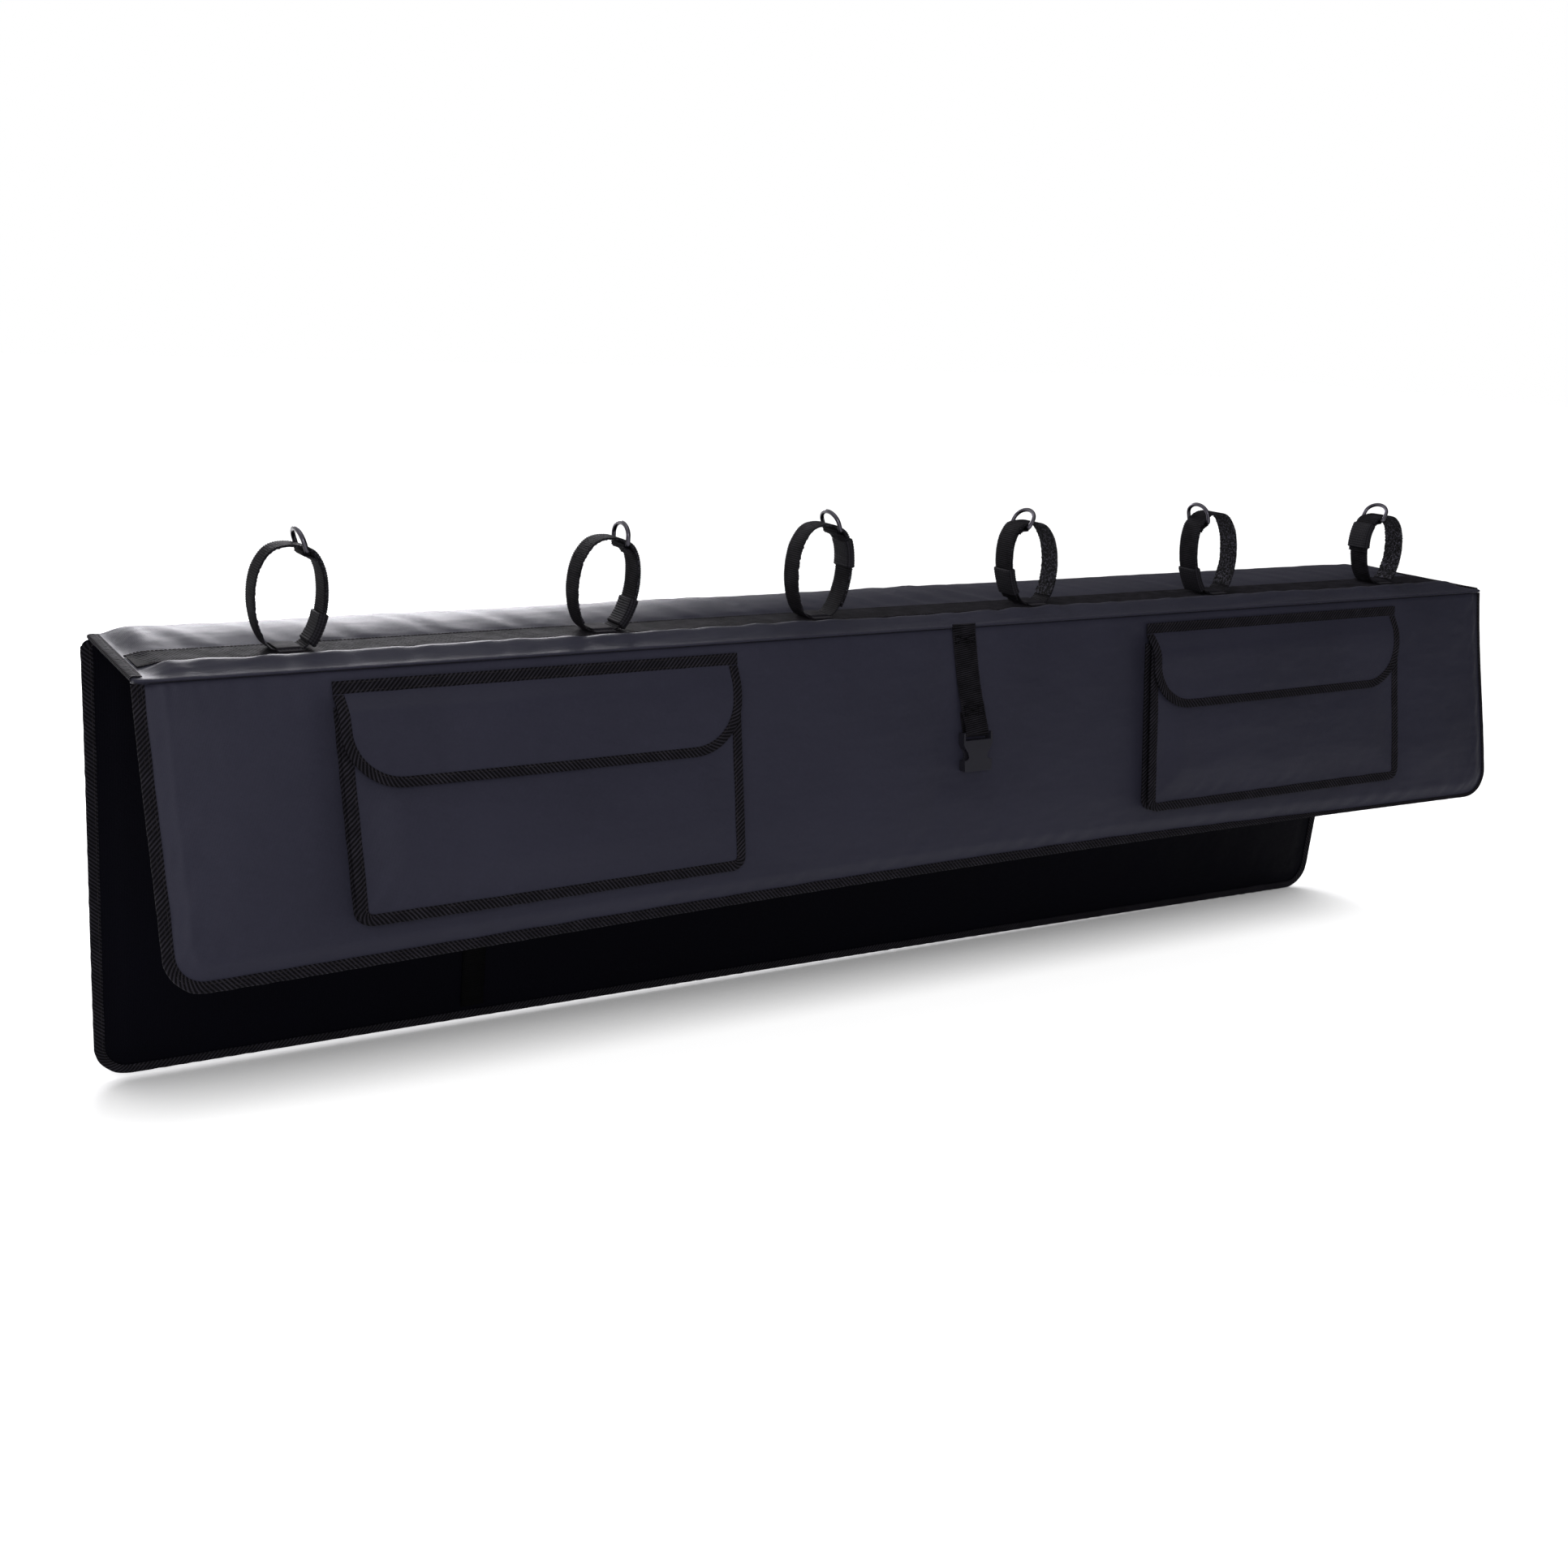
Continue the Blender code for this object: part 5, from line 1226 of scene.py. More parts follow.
def strap_keeper(name, loop, place):
    """Elastic band round both layers, with cords across it and rolled rims."""
    total = lengths(loop.right)[-1]
    half_share = (KEEPER_LENGTH / 2 + 0.0008) / total
    spots = np.linspace(-1, 1, 61)
    centre = [loop.at(loop.right, loop.keeper_share + half_share * spot) for spot in spots]
    point = np.array([c[0] for c in centre])
    out = np.array([loop.outwards(c[1]) for c in centre])
    out = [np.convolve(np.pad(column, 4, mode="edge"), np.ones(9) / 9, "valid") for column in out.T]
    out = unit(np.stack(out, 1))
    low = -STRAP_THICKNESS / 2 - 2 * GAP
    high = STRAP_THICKNESS / 2 + PLUMP + 2 * GAP
    half = STRAP_HALF + GAP
    middle, tall = (low + high) / 2, (high - low) / 2
    ribs = 0.00022 * np.sin(2 * np.pi * spots * KEEPER_LENGTH / 2 / 0.0024)
    wall = KEEPER_WALL + 0.00015 + 0.0003 * spots ** 2 + ribs
    wall = wall * np.clip((1 - np.abs(spots)) * 12 + 0.35, 0, 1)
    rings = []
    for turn in np.radians(np.arange(0, 360, 10) + 4):
        c, s = math.cos(turn), math.sin(turn)
        y = blunt(c, 0.18) * half
        n = middle + blunt(s, 0.35) * tall
        normal = unit(np.array((blunt(c, 1.6) * 0.5, s)))
        profile = []
        for thick in (wall, 0 * wall):
            spot = point + out * (n + normal[1] * thick)[:, None]
            profile.append(place + xyz(spot[:, 0], y + normal[0] * thick, spot[:, 1]))
        rings.append(np.concatenate((profile[0], profile[1][::-1])))
    loft(f"{name}_band", rings, "keeper", f"{name}_keeper", closed=True, sharp=60)


def strap_tab(name, place):
    """Short sewn tab over the foot of the strap, with rows of pale stitches on its two feet."""
    low = TAB_THICKNESS / 2 + GAP
    high = STRAP_THICKNESS + 2 * GAP + TAB_THICKNESS / 2
    knee = STRAP_WIDTH / 2 + GAP + TAB_THICKNESS
    half = [(-knee - TAB_FOOT, low), (-knee - 0.002, low), (-knee, low), (-knee + TAB_THICKNESS / 2, high)]
    line = np.array(half + [(-knee + 0.004, high)] + [(knee - 0.004, high)] + [(-y, z) for y, z in half[::-1]])
    line = respace(soften(line), 0.0007)
    out = left_normals(line)
    square = blunt_section(18, TAB_WIDTH / 2, TAB_THICKNESS / 2, 0.2)
    ribs = 1 + 0.10 * np.sin(2 * np.pi * lengths(line) / 0.0019)
    rings = []
    for p, normal, rib in zip(line, out, ribs):
        spot = p + normal * square[:, 1:] * rib
        rings.append(place + xyz(square[:, 0], spot[:, 0], spot[:, 1]))
    loft(f"{name}_sewn_tab", rings, "web_rib", f"{name}_tab")
    rows = []
    run = np.linspace(-TAB_WIDTH / 2 + 0.0015, TAB_WIDTH / 2 - 0.0015, 12)
    for side in (-1, 1):
        for k in range(4):
            rows.append(place + xyz(run, side * (knee + 0.0010 + 0.0016 * k), low + TAB_THICKNESS / 2 + 0.0001))
    repeat_along(f"{name}_tab_stitches", rows, "stitch", "pale_thread", "strap_webbing", Step=0.0028,
                 Length=0.0022, Width=0.0008, Height=0.0007)


def hinge_place(name):
    """Where the frame has this joint, in metres."""
    joint = [j for j in frame["joints"] if j["name"] == name][0]
    return np.array(joint["pos_m"], float)


def strap_ring(name, number, lean):
    """Round wire bent to a D, smooth and satin, with a weld seam in its bar."""
    side = STRAP_WIDTH / 2 + RING_SIDE_CLEARANCE + RING_WIRE
    rise = RING_HEIGHT - RING_WIRE
    corner, bow = (np.linspace(0, math.pi / 2, count) for count in (9, 33))
    line = [(y, 0.0) for y in np.linspace(0.0, side - RING_CORNER, 12)]
    line += [(side - RING_CORNER * (1 - math.sin(a)), RING_CORNER * (1 - math.cos(a))) for a in corner[1:]]
    line += [(side, z) for z in np.linspace(RING_CORNER, RING_LEG, 6)[1:-1]]
    line += [(side * math.cos(a), RING_LEG + (rise - RING_LEG) * math.sin(a)) for a in bow]
    line = np.array(line + [(-y, z) for y, z in line[-2:0:-1]])
    ahead = unit(np.roll(line, -1, 0) - np.roll(line, 1, 0))
    across = np.stack((-ahead[:, 1], ahead[:, 0]), 1)
    seam = np.exp(-((line[:, 0] - 0.004) / 0.0006) ** 2) * (np.abs(line[:, 1]) < 1e-6)
    radius = SHOWN_WIRE - 0.00014 * seam
    turn = np.radians(np.arange(0, 360, 18))
    place = hinge_place(f"ring_{number}_hinge")
    c, s = math.cos(math.radians(lean)), math.sin(math.radians(lean))
    rings = []
    for p, side_way, r in zip(line, across, radius):
        spot = p + side_way * (r * np.cos(turn))[:, None]
        x, z = r * np.sin(turn), spot[:, 1]
        rings.append(place + xyz(c * x + s * z, spot[:, 0], c * z - s * x))
    loft(f"{name}_d_ring", rings, "metal", f"{name}_ring", body=f"ring_{number}", closed=True, sharp=80)


def bike_straps():
    straps = zip(STRAP_PLACES, STRAP_HEIGHTS, STRAP_FORMS, RING_LEANS)
    for number, (x, height, form, lean) in enumerate(straps, 1):
        name = f"strap_{number}"
        place = np.array((x, STRIP_PLACE, STRIP_TOP))
        loop = StrapLoop(form, height)
        strap_webbing(name, loop, place)
        strap_keeper(name, loop, place)
        strap_tab(name, place)
        strap_ring(name, number, lean)


# Pockets


class PocketPlace:
    """The front flap under one pocket, from its middle; the pocket lies flatter towards its right side."""

    def __init__(self, centre):
        self.centre = centre

    def place(self, x, v, n):
        flat = 1 - 0.45 * ease((x + 0.12) / 0.30)
        return FRONT.place(self.centre + x, v, FLAP_PAD + (n - FLAP_PAD) * flat)


class LidPath:
    """Section of a pocket lid in v and n: down from its seam, out over the mouth and down the front."""

    def __init__(self):
        knee = 0.067
        corners = np.array((
            (POCKET_TOP + TAPE, LID_SEAM), (0.0192, LID_SEAM + 0.0002), (0.0285, (LID_SEAM + LID_FRONT) / 2),
            (0.0378, LID_FRONT), (knee, LID_FRONT), (LID_BOTTOM, LID_FRONT),
        ))
        self.total = lengths(corners)[-1]
        self.line = respace(soften(corners, 3), 0.001)
        self.run = lengths(self.line) * self.total / lengths(self.line)[-1]
        self.normal = left_normals(self.line)

    def point(self, s, m):
        v, n = (
            np.interp(s, self.run, self.line[:, k]) + m * np.interp(s, self.run, self.normal[:, k]) for k in (0, 1)
        )
        return v + np.maximum(s - self.total, 0.0), n

    def inset(self, s):
        low = np.clip((s - (self.total - LID_CORNER)) / LID_CORNER, 0, 1)
        return LID_CORNER * (1 - np.sqrt(1 - low * low))


LID = LidPath()


def lid_wave(x, s, seed):
    """A loose lid's edge stands off a little here and there."""
    share = ease((s - 0.045) / (LID.total - 0.045))
    return share * (0.0011 + 0.0009 * ripple(x, 0.17, seed)) + 0.0002 * ripple(x, 0.03, seed + 1) * share


def pocket_lid(name, side, seed):
    """Lid of cover cloth with rounded lower corners and tape round its free edges; returns its stitch line."""
    s = np.concatenate((np.linspace(0, LID.total - 0.03, 30), np.linspace(LID.total - 0.03, LID.total, 16)[1:]))
    x = spread(POCKET_HALF - LID.inset(s), 92, 0.35)
    s = np.repeat(s[:, None], 92, 1)
    sag = 0.0007 * swell(x, s, 0.10, seed + 2) * ease((POCKET_HALF - np.abs(x)) / 0.04) * ease((LID.total - s) / 0.02)
    sag = np.maximum(sag, -0.0002) * ease((s - 0.02) / 0.02)
    grids = []
    for m in (LID_CLOTH, 0.0):
        v, n = LID.point(s, m + sag + lid_wave(x, s, seed))
        grids.append(side.place(x, v, n))
    shell(f"{name}_lid_cloth", *grids, "cover", f"{name}_lid")
    edge = edge_line(POCKET_HALF, LID_TAPE_TOP, LID.total, LID_CORNER, LID_CORNER, 0.005)
    fold = fold_line(LID_TRIM, -GAP - TAPE / 2, LID_CLOTH + GAP + TAPE / 2, 0.0008, groove=0.0003)
    section = thick_line(fold, TAPE)
    run = lengths(edge[:, :2])
    rings = []
    for (ex, es, ix, iv), length in zip(edge, run):
        w = section[:, 0]
        x = ex + ix * w
        s = es + iv * w
        v, n = LID.point(s, section[:, 1] + 0.0002 * ripple(length, 0.02, seed) + lid_wave(x, s, seed))
        rings.append(side.place(x, v, n))
    loft(f"{name}_lid_tape", rings, "tape", f"{name}_lid_binding")
    w = LID_TRIM - POCKET_STITCH_IN
    x, s = edge[:, 0] + edge[:, 2] * w, edge[:, 1] + edge[:, 3] * w
    v, n = LID.point(s, LID_CLOTH + GAP + TAPE - 0.0001 + lid_wave(x, s, seed))
    return side.place(x, v, n)


def pouch_bulge(x, v, seed):
    """How far the pocket's front stands out of its flat: slack below the lid, with soft dents."""
    inside = np.minimum(POCKET_HALF - np.abs(x), POCKET_FOOT - v)
    share = ease((inside - 0.0125) / 0.035) * ease((v - 0.088) / 0.045)
    slack = 0.0034 * share * (1 + 0.35 * swell(x, v, 0.16, seed))
    pucker = 0.0005 * ripple(x + v, 0.020, seed + 3) * np.exp(-np.clip(inside - 0.014, 0, 1) / 0.009)
    pucker = pucker * ease((inside - 0.0122) / 0.004) * ease((v - 0.09) / 0.01)
    return slack + pucker


def pocket_pouch(name, side, seed):
    """Front sheet and bellows wall of a pocket, with folded tape on its front and back edges."""
    edge = edge_line(POCKET_HALF, POCKET_MOUTH, POCKET_FOOT, POCKET_CORNER, POCKET_CORNER, 0.006)
    v = np.linspace(POCKET_MOUTH, POCKET_FOOT - 0.03, 38)
    v = np.concatenate((v, np.linspace(POCKET_FOOT - 0.03, POCKET_FOOT, 18)[1:]))
    low = np.clip(v - (POCKET_FOOT - POCKET_CORNER), 0, POCKET_CORNER)
    half = POCKET_HALF - POCKET_CORNER + np.sqrt(POCKET_CORNER ** 2 - low ** 2)
    x = spread(half, 100, 0.3)
    v = np.repeat(v[:, None], 100, 1)
    rise = pouch_bulge(x, v, seed)
    grids = [side.place(x, v, n + rise) for n in (POUCH_FRONT, POUCH_FRONT - 0.001)]
    shell(f"{name}_front_cloth", *grids, "cover", f"{name}_pouch")
    depth = POUCH_FRONT - 0.0012 - POUCH_BACK - 0.0005
    share = np.linspace(0, 1, 8)
    lip = np.linspace(0.0004, POCKET_LIP, 3)
    wall = np.stack((POCKET_LIP + 0.0006 + 0.0026 * np.sin(np.pi * share), POUCH_BACK + 0.0005 + depth * share), 1)
    line = np.concatenate((np.stack((lip, np.full(3, POUCH_BACK + 0.0005)), 1), wall[1:]))
    section = thick_line(soften(line, 1), 0.0009)
    run = lengths(edge[:, :2])
    rings = []
    for (ex, ev, ix, iv), s in zip(edge, run):
        out = np.clip(section[:, 1] - POUCH_BACK - 0.002, 0, 0.004) / 0.004
        w = section[:, 0] + 0.0005 * ripple(s, 0.03, seed + 7) * out
        rings.append(side.place(ex + ix * w, ev + iv * w, section[:, 1]))
    loft(f"{name}_bellows", rings, "cover")
    stack = 2 * (TAPE + GAP) + 0.001
    section = fold_line(POUCH_TRIM, TAPE / 2, stack - TAPE / 2, 0.0008, POCKET_LIP - GAP, groove=0.0003)
    floor = POUCH_FRONT - 0.001 - GAP - TAPE
    folded_tape(f"{name}_front_tape", f"{name}_front_binding", side, edge, section, seed + 11, floor)
    lines = [stitch_line(side, edge, POUCH_TRIM - POCKET_STITCH_IN, floor + stack - 0.0001)]
    edge = edge_line(POCKET_HALF, BACK_TAPE_TOP, POCKET_FOOT, POCKET_CORNER, POCKET_CORNER, 0.008)
    section = fold_line(POCKET_LIP - GAP, TAPE / 2, stack - TAPE / 2, 0.0010)
    folded_tape(f"{name}_back_tape", f"{name}_back_binding", side, edge, section, seed + 13, LID_SEAM)
    return lines + [stitch_line(side, edge, POCKET_LIP - 0.0024, LID_SEAM + stack)]


def pocket_trim(name, side):
    """Tape over the lid's seam, and the two patches that hold the lid shut."""
    x = np.linspace(-POCKET_SPAN / 2, POCKET_SPAN / 2, 70)
    line = fold_line(0.0115, 0.0, 0.0008, 0.0004)[:11]
    floor = LID_SEAM + LID_CLOTH + GAP + 0.0002
    section = thick_line(line - np.array([0.0, 0.0004]), TAPE)
    rings = []
    for place in x:
        wave = 0.0002 * ripple(place, 0.03, 91)
        n = floor + section[:, 1] + 0.0002 + wave * 0.5
        rings.append(side.place(place, POCKET_TOP + section[:, 0], n))
    loft(f"{name}_seam_tape", rings, "tape", f"{name}_top_binding")
    patch_floor = POUCH_FRONT + SEWN_GAP
    rows = ((f"{name}_hook_patch", patch_floor), (f"{name}_loop_patch", LID_FRONT - GAP - PATCH_THICKNESS))
    for node, low in rows:
        px = np.linspace(-PATCH_HALF, PATCH_HALF, 60)
        px, pv = np.meshgrid(px, np.linspace(PATCH_TOP, PATCH_TOP + PATCH_HEIGHT, 10))
        rng = np.random.default_rng(17)
        fuzz = -0.0001 * rng.random(px.shape)
        upper = side.place(px, pv, low + PATCH_THICKNESS + fuzz)
        shell(f"{node}_pile", upper, side.place(px, pv, low), "pile", node, sharp=80)
    return [side.place(x[1:-1], POCKET_TOP + v, floor + TAPE + 0.0003) for v in (0.0022, 0.0092)]


def pockets():
    for centre, word, seed in ((-POCKET_PLACE, "left", 101), (POCKET_PLACE, "right", 151)):
        name = f"pocket_{word}"
        side = PocketPlace(centre)
        lines = pocket_pouch(name, side, seed)
        lines.append(pocket_lid(name, side, seed + 20))
        lines += pocket_trim(name, side)
        repeat_along(f"{name}_stitches", lines, "stitch", "thread", Step=0.0034, Length=0.0026)


# Ties and buckles


def tie_path(face, away, start, thick):
    """Path of a tie strap in v and n: down to the buckle's bar, round it and back up."""
    turn_radius = BUCKLE_BAR * math.sqrt(2) + BUCKLE_SEAT + TIE_THICKNESS / 2
    near = SEWN_GAP + TIE_THICKNESS / 2
    bar = max(thick / 2 + BUCKLE_CLEARANCE, near + turn_radius)
    fold = TIE_DROP - TIE_FOLD
    upper = near + TIE_THICKNESS + GAP
    top = bar + turn_radius
    path = [(start, near), (start + 0.30 * (fold - start), near), (fold - 0.026, near)]
    path += [(fold, max(upper, near + 0.46 * (top - near))), (TIE_DROP - 0.006, top)]
    for k in range(14):
        turn = math.pi * k / 13
        path.append((TIE_DROP + turn_radius * math.sin(turn), bar + turn_radius * math.cos(turn)))
    path += [(TIE_DROP - 0.006, max(bar - turn_radius - 0.0004, near)), (fold + 0.005, near)]
    return np.array([(v, face + away * n) for v, n in path])


def tie_centre(v):
    return TIE_TOP_PLACE + (TIE_BOTTOM_PLACE - TIE_TOP_PLACE) * np.clip(v / TIE_DROP, 0.0, 1.0)


def stitch_box(middle_v, half_v, n, half_x=0.0115):
    """Square of stitches with a cross in it, on the tie strap."""
    corners = [(-1, -1), (1, -1), (1, 1), (-1, 1), (-1, -1), (1, 1), (-1, 1), (1, -1)]
    lines = []
    for a, b in zip(corners, corners[1:]):
        x, v = np.linspace(a, b, 12).T
        v = middle_v + half_v * v
        lines.append(FRONT.place(tie_centre(v) + half_x * x, v, n))
    return lines


def tie_strap(name, face, away, start, thick):
    path = tie_path(face, away, start, thick)
    path = respace(soften(path, 1), 0.0012)
    line = FRONT.place(tie_centre(path[:, 0]), path[:, 0], path[:, 1])
    webbing(name, line, (1.0, 0.0, 0.0), TIE_HALF - 0.0010, TIE_THICKNESS, f"{name}_webbing")
    top = face + away * (SEWN_GAP + TIE_THICKNESS + 0.0002)
    fold_top = top + away * (TIE_THICKNESS + GAP)
    lines = stitch_box(max(start, 0.0) + 0.0110, 0.0035, top)
    rise = 0.46 * (TIE_THICKNESS + thick / 2)
    lines += stitch_box(TIE_DROP - TIE_FOLD + 0.0045, 0.0045, fold_top + away * rise)
    repeat_along(f"{name}_stitches", lines, "stitch", "web_core", "strap_webbing", Step=0.0030, Length=0.0026,
                 Width=0.0014, Height=0.0009)


BEVEL = {
    "width": 0.00045, "segments": 3, "limit_method": "ANGLE", "angle_limit": math.radians(28),
    "use_clamp_overlap": True, "harden_normals": True,
}


def bevelled_copy(node, name, body):
    """The node's own shape with its edges rounded as moulded plastic has them."""
    mesh = frame["nodes"][node].data.copy()
    mesh.name = name
    tidy_faces(mesh, 1e-5)
    thing = link(name, mesh, FINISHES["plastic"], 30)
    assign(thing.modifiers.new("Rounded edges", "BEVEL"), BEVEL)
    settle(thing, body, SLOTS["plastic"], node)


def ties():
    tie_strap("tie", FLAP_PAD, 1, -TIE_RISE, BUCKLE_THICKNESS)
    tie_strap("inner", 0.0, -1, INNER_TIE_TOP, INNER_THICKNESS)
    bevelled_copy("tie_buckle", "tie_buckle_socket", "outer_buckle_half")
    bevelled_copy("inner_buckle", "inner_buckle_plug", "inner_buckle_half")


def rear_strap():
    """Webbing sewn down the inner face of the rear flap, its ribs and stitches in darker copies of the webbing:
    painted shade.
    """
    v = np.linspace(REAR_STRAP_TOP, REAR_DROP - TAPE_WIDTH - SEWN_GAP, 140)
    n = -SEWN_GAP - REAR_STRAP_THICKNESS / 2
    line = REAR.place(REAR_STRAP_PLACE, v, n)
    webbing("rear_strap", line, (1.0, 0.0, 0.0), REAR_STRAP_HALF, REAR_STRAP_THICKNESS, "rear_strap",
            ribs="web_black")
    lines = [REAR.place(REAR_STRAP_PLACE + side * 0.0105, v[2:-2], n - 0.0009) for side in (-1, 1)]
    # The stitches take the webbing core's darker copy, painted shade as on the strap's ribs
    repeat_along("rear_strap_stitches", lines, "stitch", "web_core", "strap_webbing", **THREAD)


# Stage


def photo_camera():
    sight = Vector((math.sin(CAMERA_TURN) * math.cos(CAMERA_TILT), math.cos(CAMERA_TURN) * math.cos(CAMERA_TILT),
                    -math.sin(CAMERA_TILT)))
    level = Vector((math.cos(CAMERA_TURN), -math.sin(CAMERA_TURN), 0))
    upward = level.cross(sight)
    right = math.cos(CAMERA_ROLL) * level + math.sin(CAMERA_ROLL) * upward
    up = -math.sin(CAMERA_ROLL) * level + math.cos(CAMERA_ROLL) * upward
    data = bpy.data.cameras.new("photo_camera")
    focus = CAMERA_FOCUS / PHOTO_WIDTH * SENSOR_WIDTH
    assign(data, {"sensor_width": SENSOR_WIDTH, "lens": focus, "clip_start": 0.05, "clip_end": 60.0})
    camera = put("photo_camera", data)
    camera.matrix_world = Matrix((
        (right.x, up.x, -sight.x, CAMERA_PLACE[0]), (right.y, up.y, -sight.y, CAMERA_PLACE[1]),
        (right.z, up.z, -sight.z, CAMERA_PLACE[2]), (0, 0, 0, 1),
    ))
    bpy.context.scene.camera = camera


def white_world(level):
    world = bpy.data.worlds.new("studio")
    world.use_nodes = True
    nodes = Nodes(world.node_tree)
    back, white = (
        nodes.add("ShaderNodeBackground", None, {"Color": (*colour, 1.0), "Strength": 1.0})
        for colour in ((level, level, level * 1.02), (1.0, 1.0, 1.0))
    )
    mix = nodes.add("ShaderNodeMixShader", None, {0: nodes.seen_directly(), 1: back, 2: white})
    nodes.plug(mix, nodes.tree.nodes["World Output"].inputs["Surface"])
    bpy.context.scene.world = world


def stage_quad(name, corners, material):
    mesh = plain_mesh(name, corners, [], [(0, 1, 2, 3)])
    mesh.materials.append(material)
    quad = put(name, mesh)
    quad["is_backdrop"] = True
    return quad


def floor_sheet(colour):
    """Plain pale floor under the pad, which keeps its shadow and clears to white away from it; near the pad, ambient
    occlusion darkens its glow, a painted shadow.
    """
    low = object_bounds()[0].z - FLOOR_GAP
    corners = [(a * FLOOR_REACH, b * FLOOR_REACH, low) for a, b in ((-1, -1), (1, -1), (1, 1), (-1, 1))]
    f = Finish("floor", Base_Color=(*colour, 1.0), Roughness=0.9, Specular_IOR_Level=0.1)
    # Painted shadow: ambient occlusion darkens the floor's glow near the pad
    close = {"Color": (0.91, 0.91, 0.91, 1.0), "Distance": PAINTED_SHADOW_REACH}
    close = f.add("ShaderNodeAmbientOcclusion", {"samples": 8}, close)
    painted_shadow = f.add("ShaderNodeGamma", None, {"Color": close, "Gamma": PAINTED_SHADOW_DEPTH})
    glow = f.add("ShaderNodeEmission", None, {"Color": painted_shadow, "Strength": f.seen_directly()})
    total = f.add("ShaderNodeAddShader", None, {0: Wire(f, f.shader.outputs[0]), 1: glow})
    f.plug(total, f.tree.nodes["Material Output"].inputs["Surface"])
    stage_quad("floor", corners, f.material)


def soft_light(name, place, aim, width, height, power, colour):
    data = bpy.data.lights.new(name, "AREA")
    assign(data, {"shape": "RECTANGLE", "size": width, "size_y": height, "energy": power, "color": colour})
    light = put(name, data)
    light.location = place
    light.rotation_euler = (Vector(aim) - Vector(place)).to_track_quat("-Z", "Y").to_euler()
    light.visible_camera = False


def black_card(near, far, low, high):
    """Upright studio card that only shiny faces see, so that the pad's far end stays dark."""
    f = Finish("black_card", Base_Color=(0.0, 0.0, 0.0, 1.0), Specular_IOR_Level=0.0)
    corners = [(*near, low), (*far, low), (*far, high), (*near, high)]
    card = stage_quad("black_card", corners, f.material)
    card.visible_camera = card.visible_diffuse = card.visible_shadow = False


# What a user can change, and the buttons


def height_choice(name, description, height, most):
    return FloatProperty(name=name, description=description, default=height, min=0.0, max=most, unit="LENGTH")


class BikePadSizes(bpy.types.PropertyGroup):
    """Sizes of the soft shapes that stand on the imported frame."""

    crown: height_choice("Crown", "How far a panel's stuffing stands proud", 0.0012, 0.004)
    unevenness: height_choice("Unevenness", "Height of the soft waves in the stuffing", 0.0007, 0.002)
    pucker: height_choice("Pucker", "Height of the puckers beside the tapes", 0.0007, 0.002)
    room_light: FloatProperty(name="Room light", description="Level of the light from all round", default=0.40,
                              min=0.0, max=2.0, subtype="FACTOR")


def colour_choice(name, description, colour):
    return FloatVectorProperty(name=name, description=description, default=colour, min=0.0, max=1.0, size=3,
                               subtype="COLOR")


class BikePadColours(bpy.types.PropertyGroup):
    """Colours of the pad's finishes."""

    cover: colour_choice("Cover cloth", "Coated cloth of the panels and pockets", (0.0215, 0.0212, 0.0340))
    lining: colour_choice("Lining", "Thin cloth on the inner faces", (0.0014, 0.0013, 0.0028))
    tape: colour_choice("Binding tape", "Folded tape on the edges", (0.0078, 0.0072, 0.0094))
    webbing: colour_choice("Webbing", "Straps and anchor strip", (0.0082, 0.0076, 0.0096))
    pile: colour_choice("Loop pile", "Furry inner face of the straps", (0.0105, 0.0100, 0.0130))
    keeper: colour_choice("Keeper", "Elastic bands of the straps", (0.0110, 0.0104, 0.0130))
    thread: colour_choice("Thread", "Dark sewing thread", (0.0220, 0.0195, 0.0205))
    pale_thread: colour_choice("Pale thread", "Thread of the strap tabs", (0.0450, 0.0430, 0.0480))
    metal: colour_choice("Ring metal", "Coated wire of the rings", (0.0400, 0.0370, 0.0480))
    plastic: colour_choice("Buckle plastic", "Moulded buckle halves", (0.0120, 0.0115, 0.0165))
    floor: colour_choice("Floor", "Plain studio floor", (0.80, 0.80, 0.80))


class BIKEPAD_OT_finishes(bpy.types.Operator):
    """Make the cloth, tape, webbing, pile, metal and plastic finishes"""

    bl_idname = "bikepad.finishes"
    bl_label = "Finishes"

    def execute(self, context):
        make_finishes(context.scene.bike_pad_colours)
        return {"FINISHED"}


class BIKEPAD_OT_flaps(bpy.types.Operator):
    """Make the front and rear padded flaps with their linings and bound edges"""

    bl_idname = "bikepad.flaps"
    bl_label = "Flaps"

    def execute(self, context):
        sizes = context.scene.bike_pad_sizes
        for panel in (FRONT, REAR):
            panel_pad(panel, sizes)
            lining = panel_lining(panel, sizes)
            pieces = panel_tape(panel)
        return {"FINISHED"}


class BIKEPAD_OT_top(bpy.types.Operator):
    """Make the padded top panel with its lining, its end tapes and the anchor strip"""

    bl_idname = "bikepad.top"
    bl_label = "Top panel"

    def execute(self, context):
        sizes = context.scene.bike_pad_sizes
        top_pad(sizes)
        lining = top_lining()
        stitches = top_tapes()
        anchor_strip()
        return {"FINISHED"}


class BIKEPAD_OT_straps(bpy.types.Operator):
    """Make the six bike straps with their rings, keepers and sewn tabs"""

    bl_idname = "bikepad.straps"
    bl_label = "Bike straps"

    def execute(self, context):
        bike_straps()
        return {"FINISHED"}


class BIKEPAD_OT_pockets(bpy.types.Operator):
    """Make the two bellows pockets with their lids, tapes and patches"""

    bl_idname = "bikepad.pockets"
    bl_label = "Pockets"

    def execute(self, context):
        pockets()
        return {"FINISHED"}


class BIKEPAD_OT_ties(bpy.types.Operator):
    """Make the tie straps, the two halves of their buckle and the strap inside the rear flap"""

    bl_idname = "bikepad.ties"
    bl_label = "Ties and buckles"

    def execute(self, context):
        ties()
        rear_strap()
        return {"FINISHED"}


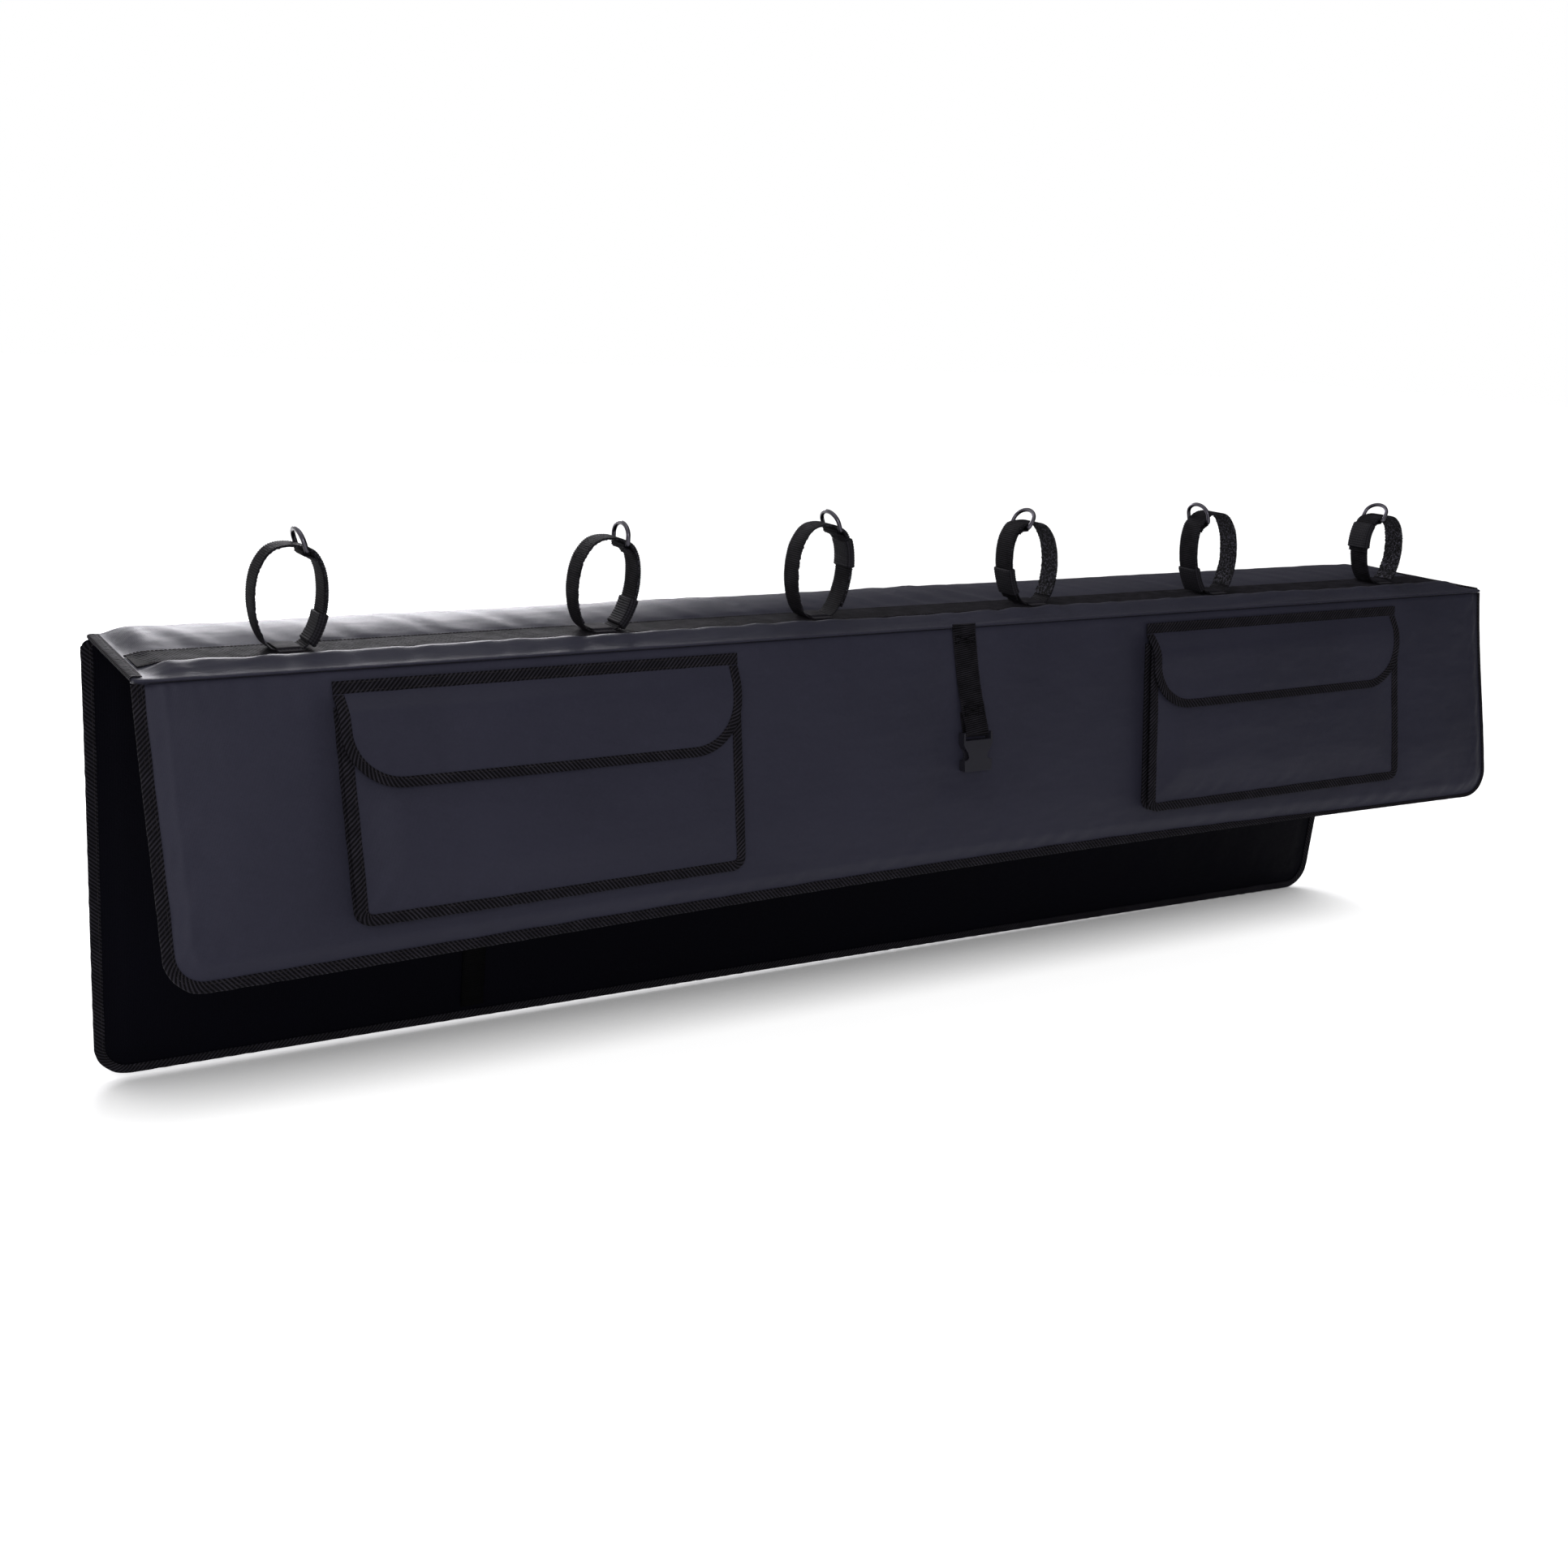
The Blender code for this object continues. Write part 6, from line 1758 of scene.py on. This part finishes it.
class BIKEPAD_OT_stage(bpy.types.Operator):
    """Make the floor, the studio light and the camera of the photograph"""

    bl_idname = "bikepad.stage"
    bl_label = "Stage"

    def execute(self, context):
        photo_camera()
        context.scene.view_settings.view_transform = "Standard"
        white_world(context.scene.bike_pad_sizes.room_light)
        floor_sheet(context.scene.bike_pad_colours.floor)
        for near, far in zip(CARD_CORNERS, CARD_CORNERS[1:]):
            black_card(near, far, *CARD_HEIGHTS)
        for light in LIGHTS:
            soft_light(*light)
        return {"FINISHED"}


BUTTONS = (
    BIKEPAD_OT_finishes, BIKEPAD_OT_flaps, BIKEPAD_OT_top, BIKEPAD_OT_straps, BIKEPAD_OT_pockets, BIKEPAD_OT_ties,
    BIKEPAD_OT_stage,
)


class BIKEPAD_PT_panel(bpy.types.Panel):
    """Buttons for each group of pieces, in the order that they are made"""

    bl_idname = "BIKEPAD_PT_panel"
    bl_label = "Tailgate Bike Pad"
    bl_space_type = "VIEW_3D"
    bl_region_type = "UI"
    bl_category = "Bike Pad"

    def draw(self, context):
        column = self.layout.column()
        for group in (context.scene.bike_pad_sizes, context.scene.bike_pad_colours):
            for name in group.__annotations__:
                column.prop(group, name)
        for button in BUTTONS:
            column.operator(button.bl_idname)


CLASSES = (BikePadSizes, BikePadColours, *BUTTONS, BIKEPAD_PT_panel)


def register():
    for kind in CLASSES:
        bpy.utils.register_class(kind)
    bpy.types.Scene.bike_pad_sizes = PointerProperty(type=BikePadSizes)
    bpy.types.Scene.bike_pad_colours = PointerProperty(type=BikePadColours)


def unregister():
    del bpy.types.Scene.bike_pad_sizes
    del bpy.types.Scene.bike_pad_colours
    for kind in reversed(CLASSES):
        bpy.utils.unregister_class(kind)


def write_sizes():
    """The CAD model's box and the dressed model's box."""
    boxes = {"cad": CAD_BOX, "visual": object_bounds()}
    {name: [list(corner) for corner in box] for name, box in boxes.items()}


def main():
    register()
    bpy.ops.bikepad.finishes()
    bpy.ops.bikepad.flaps()
    bpy.ops.bikepad.top()
    bpy.ops.bikepad.straps()
    bpy.ops.bikepad.pockets()
    bpy.ops.bikepad.ties()
    bpy.ops.bikepad.stage()
    write_sizes()


if __name__ == "__main__":
    main()
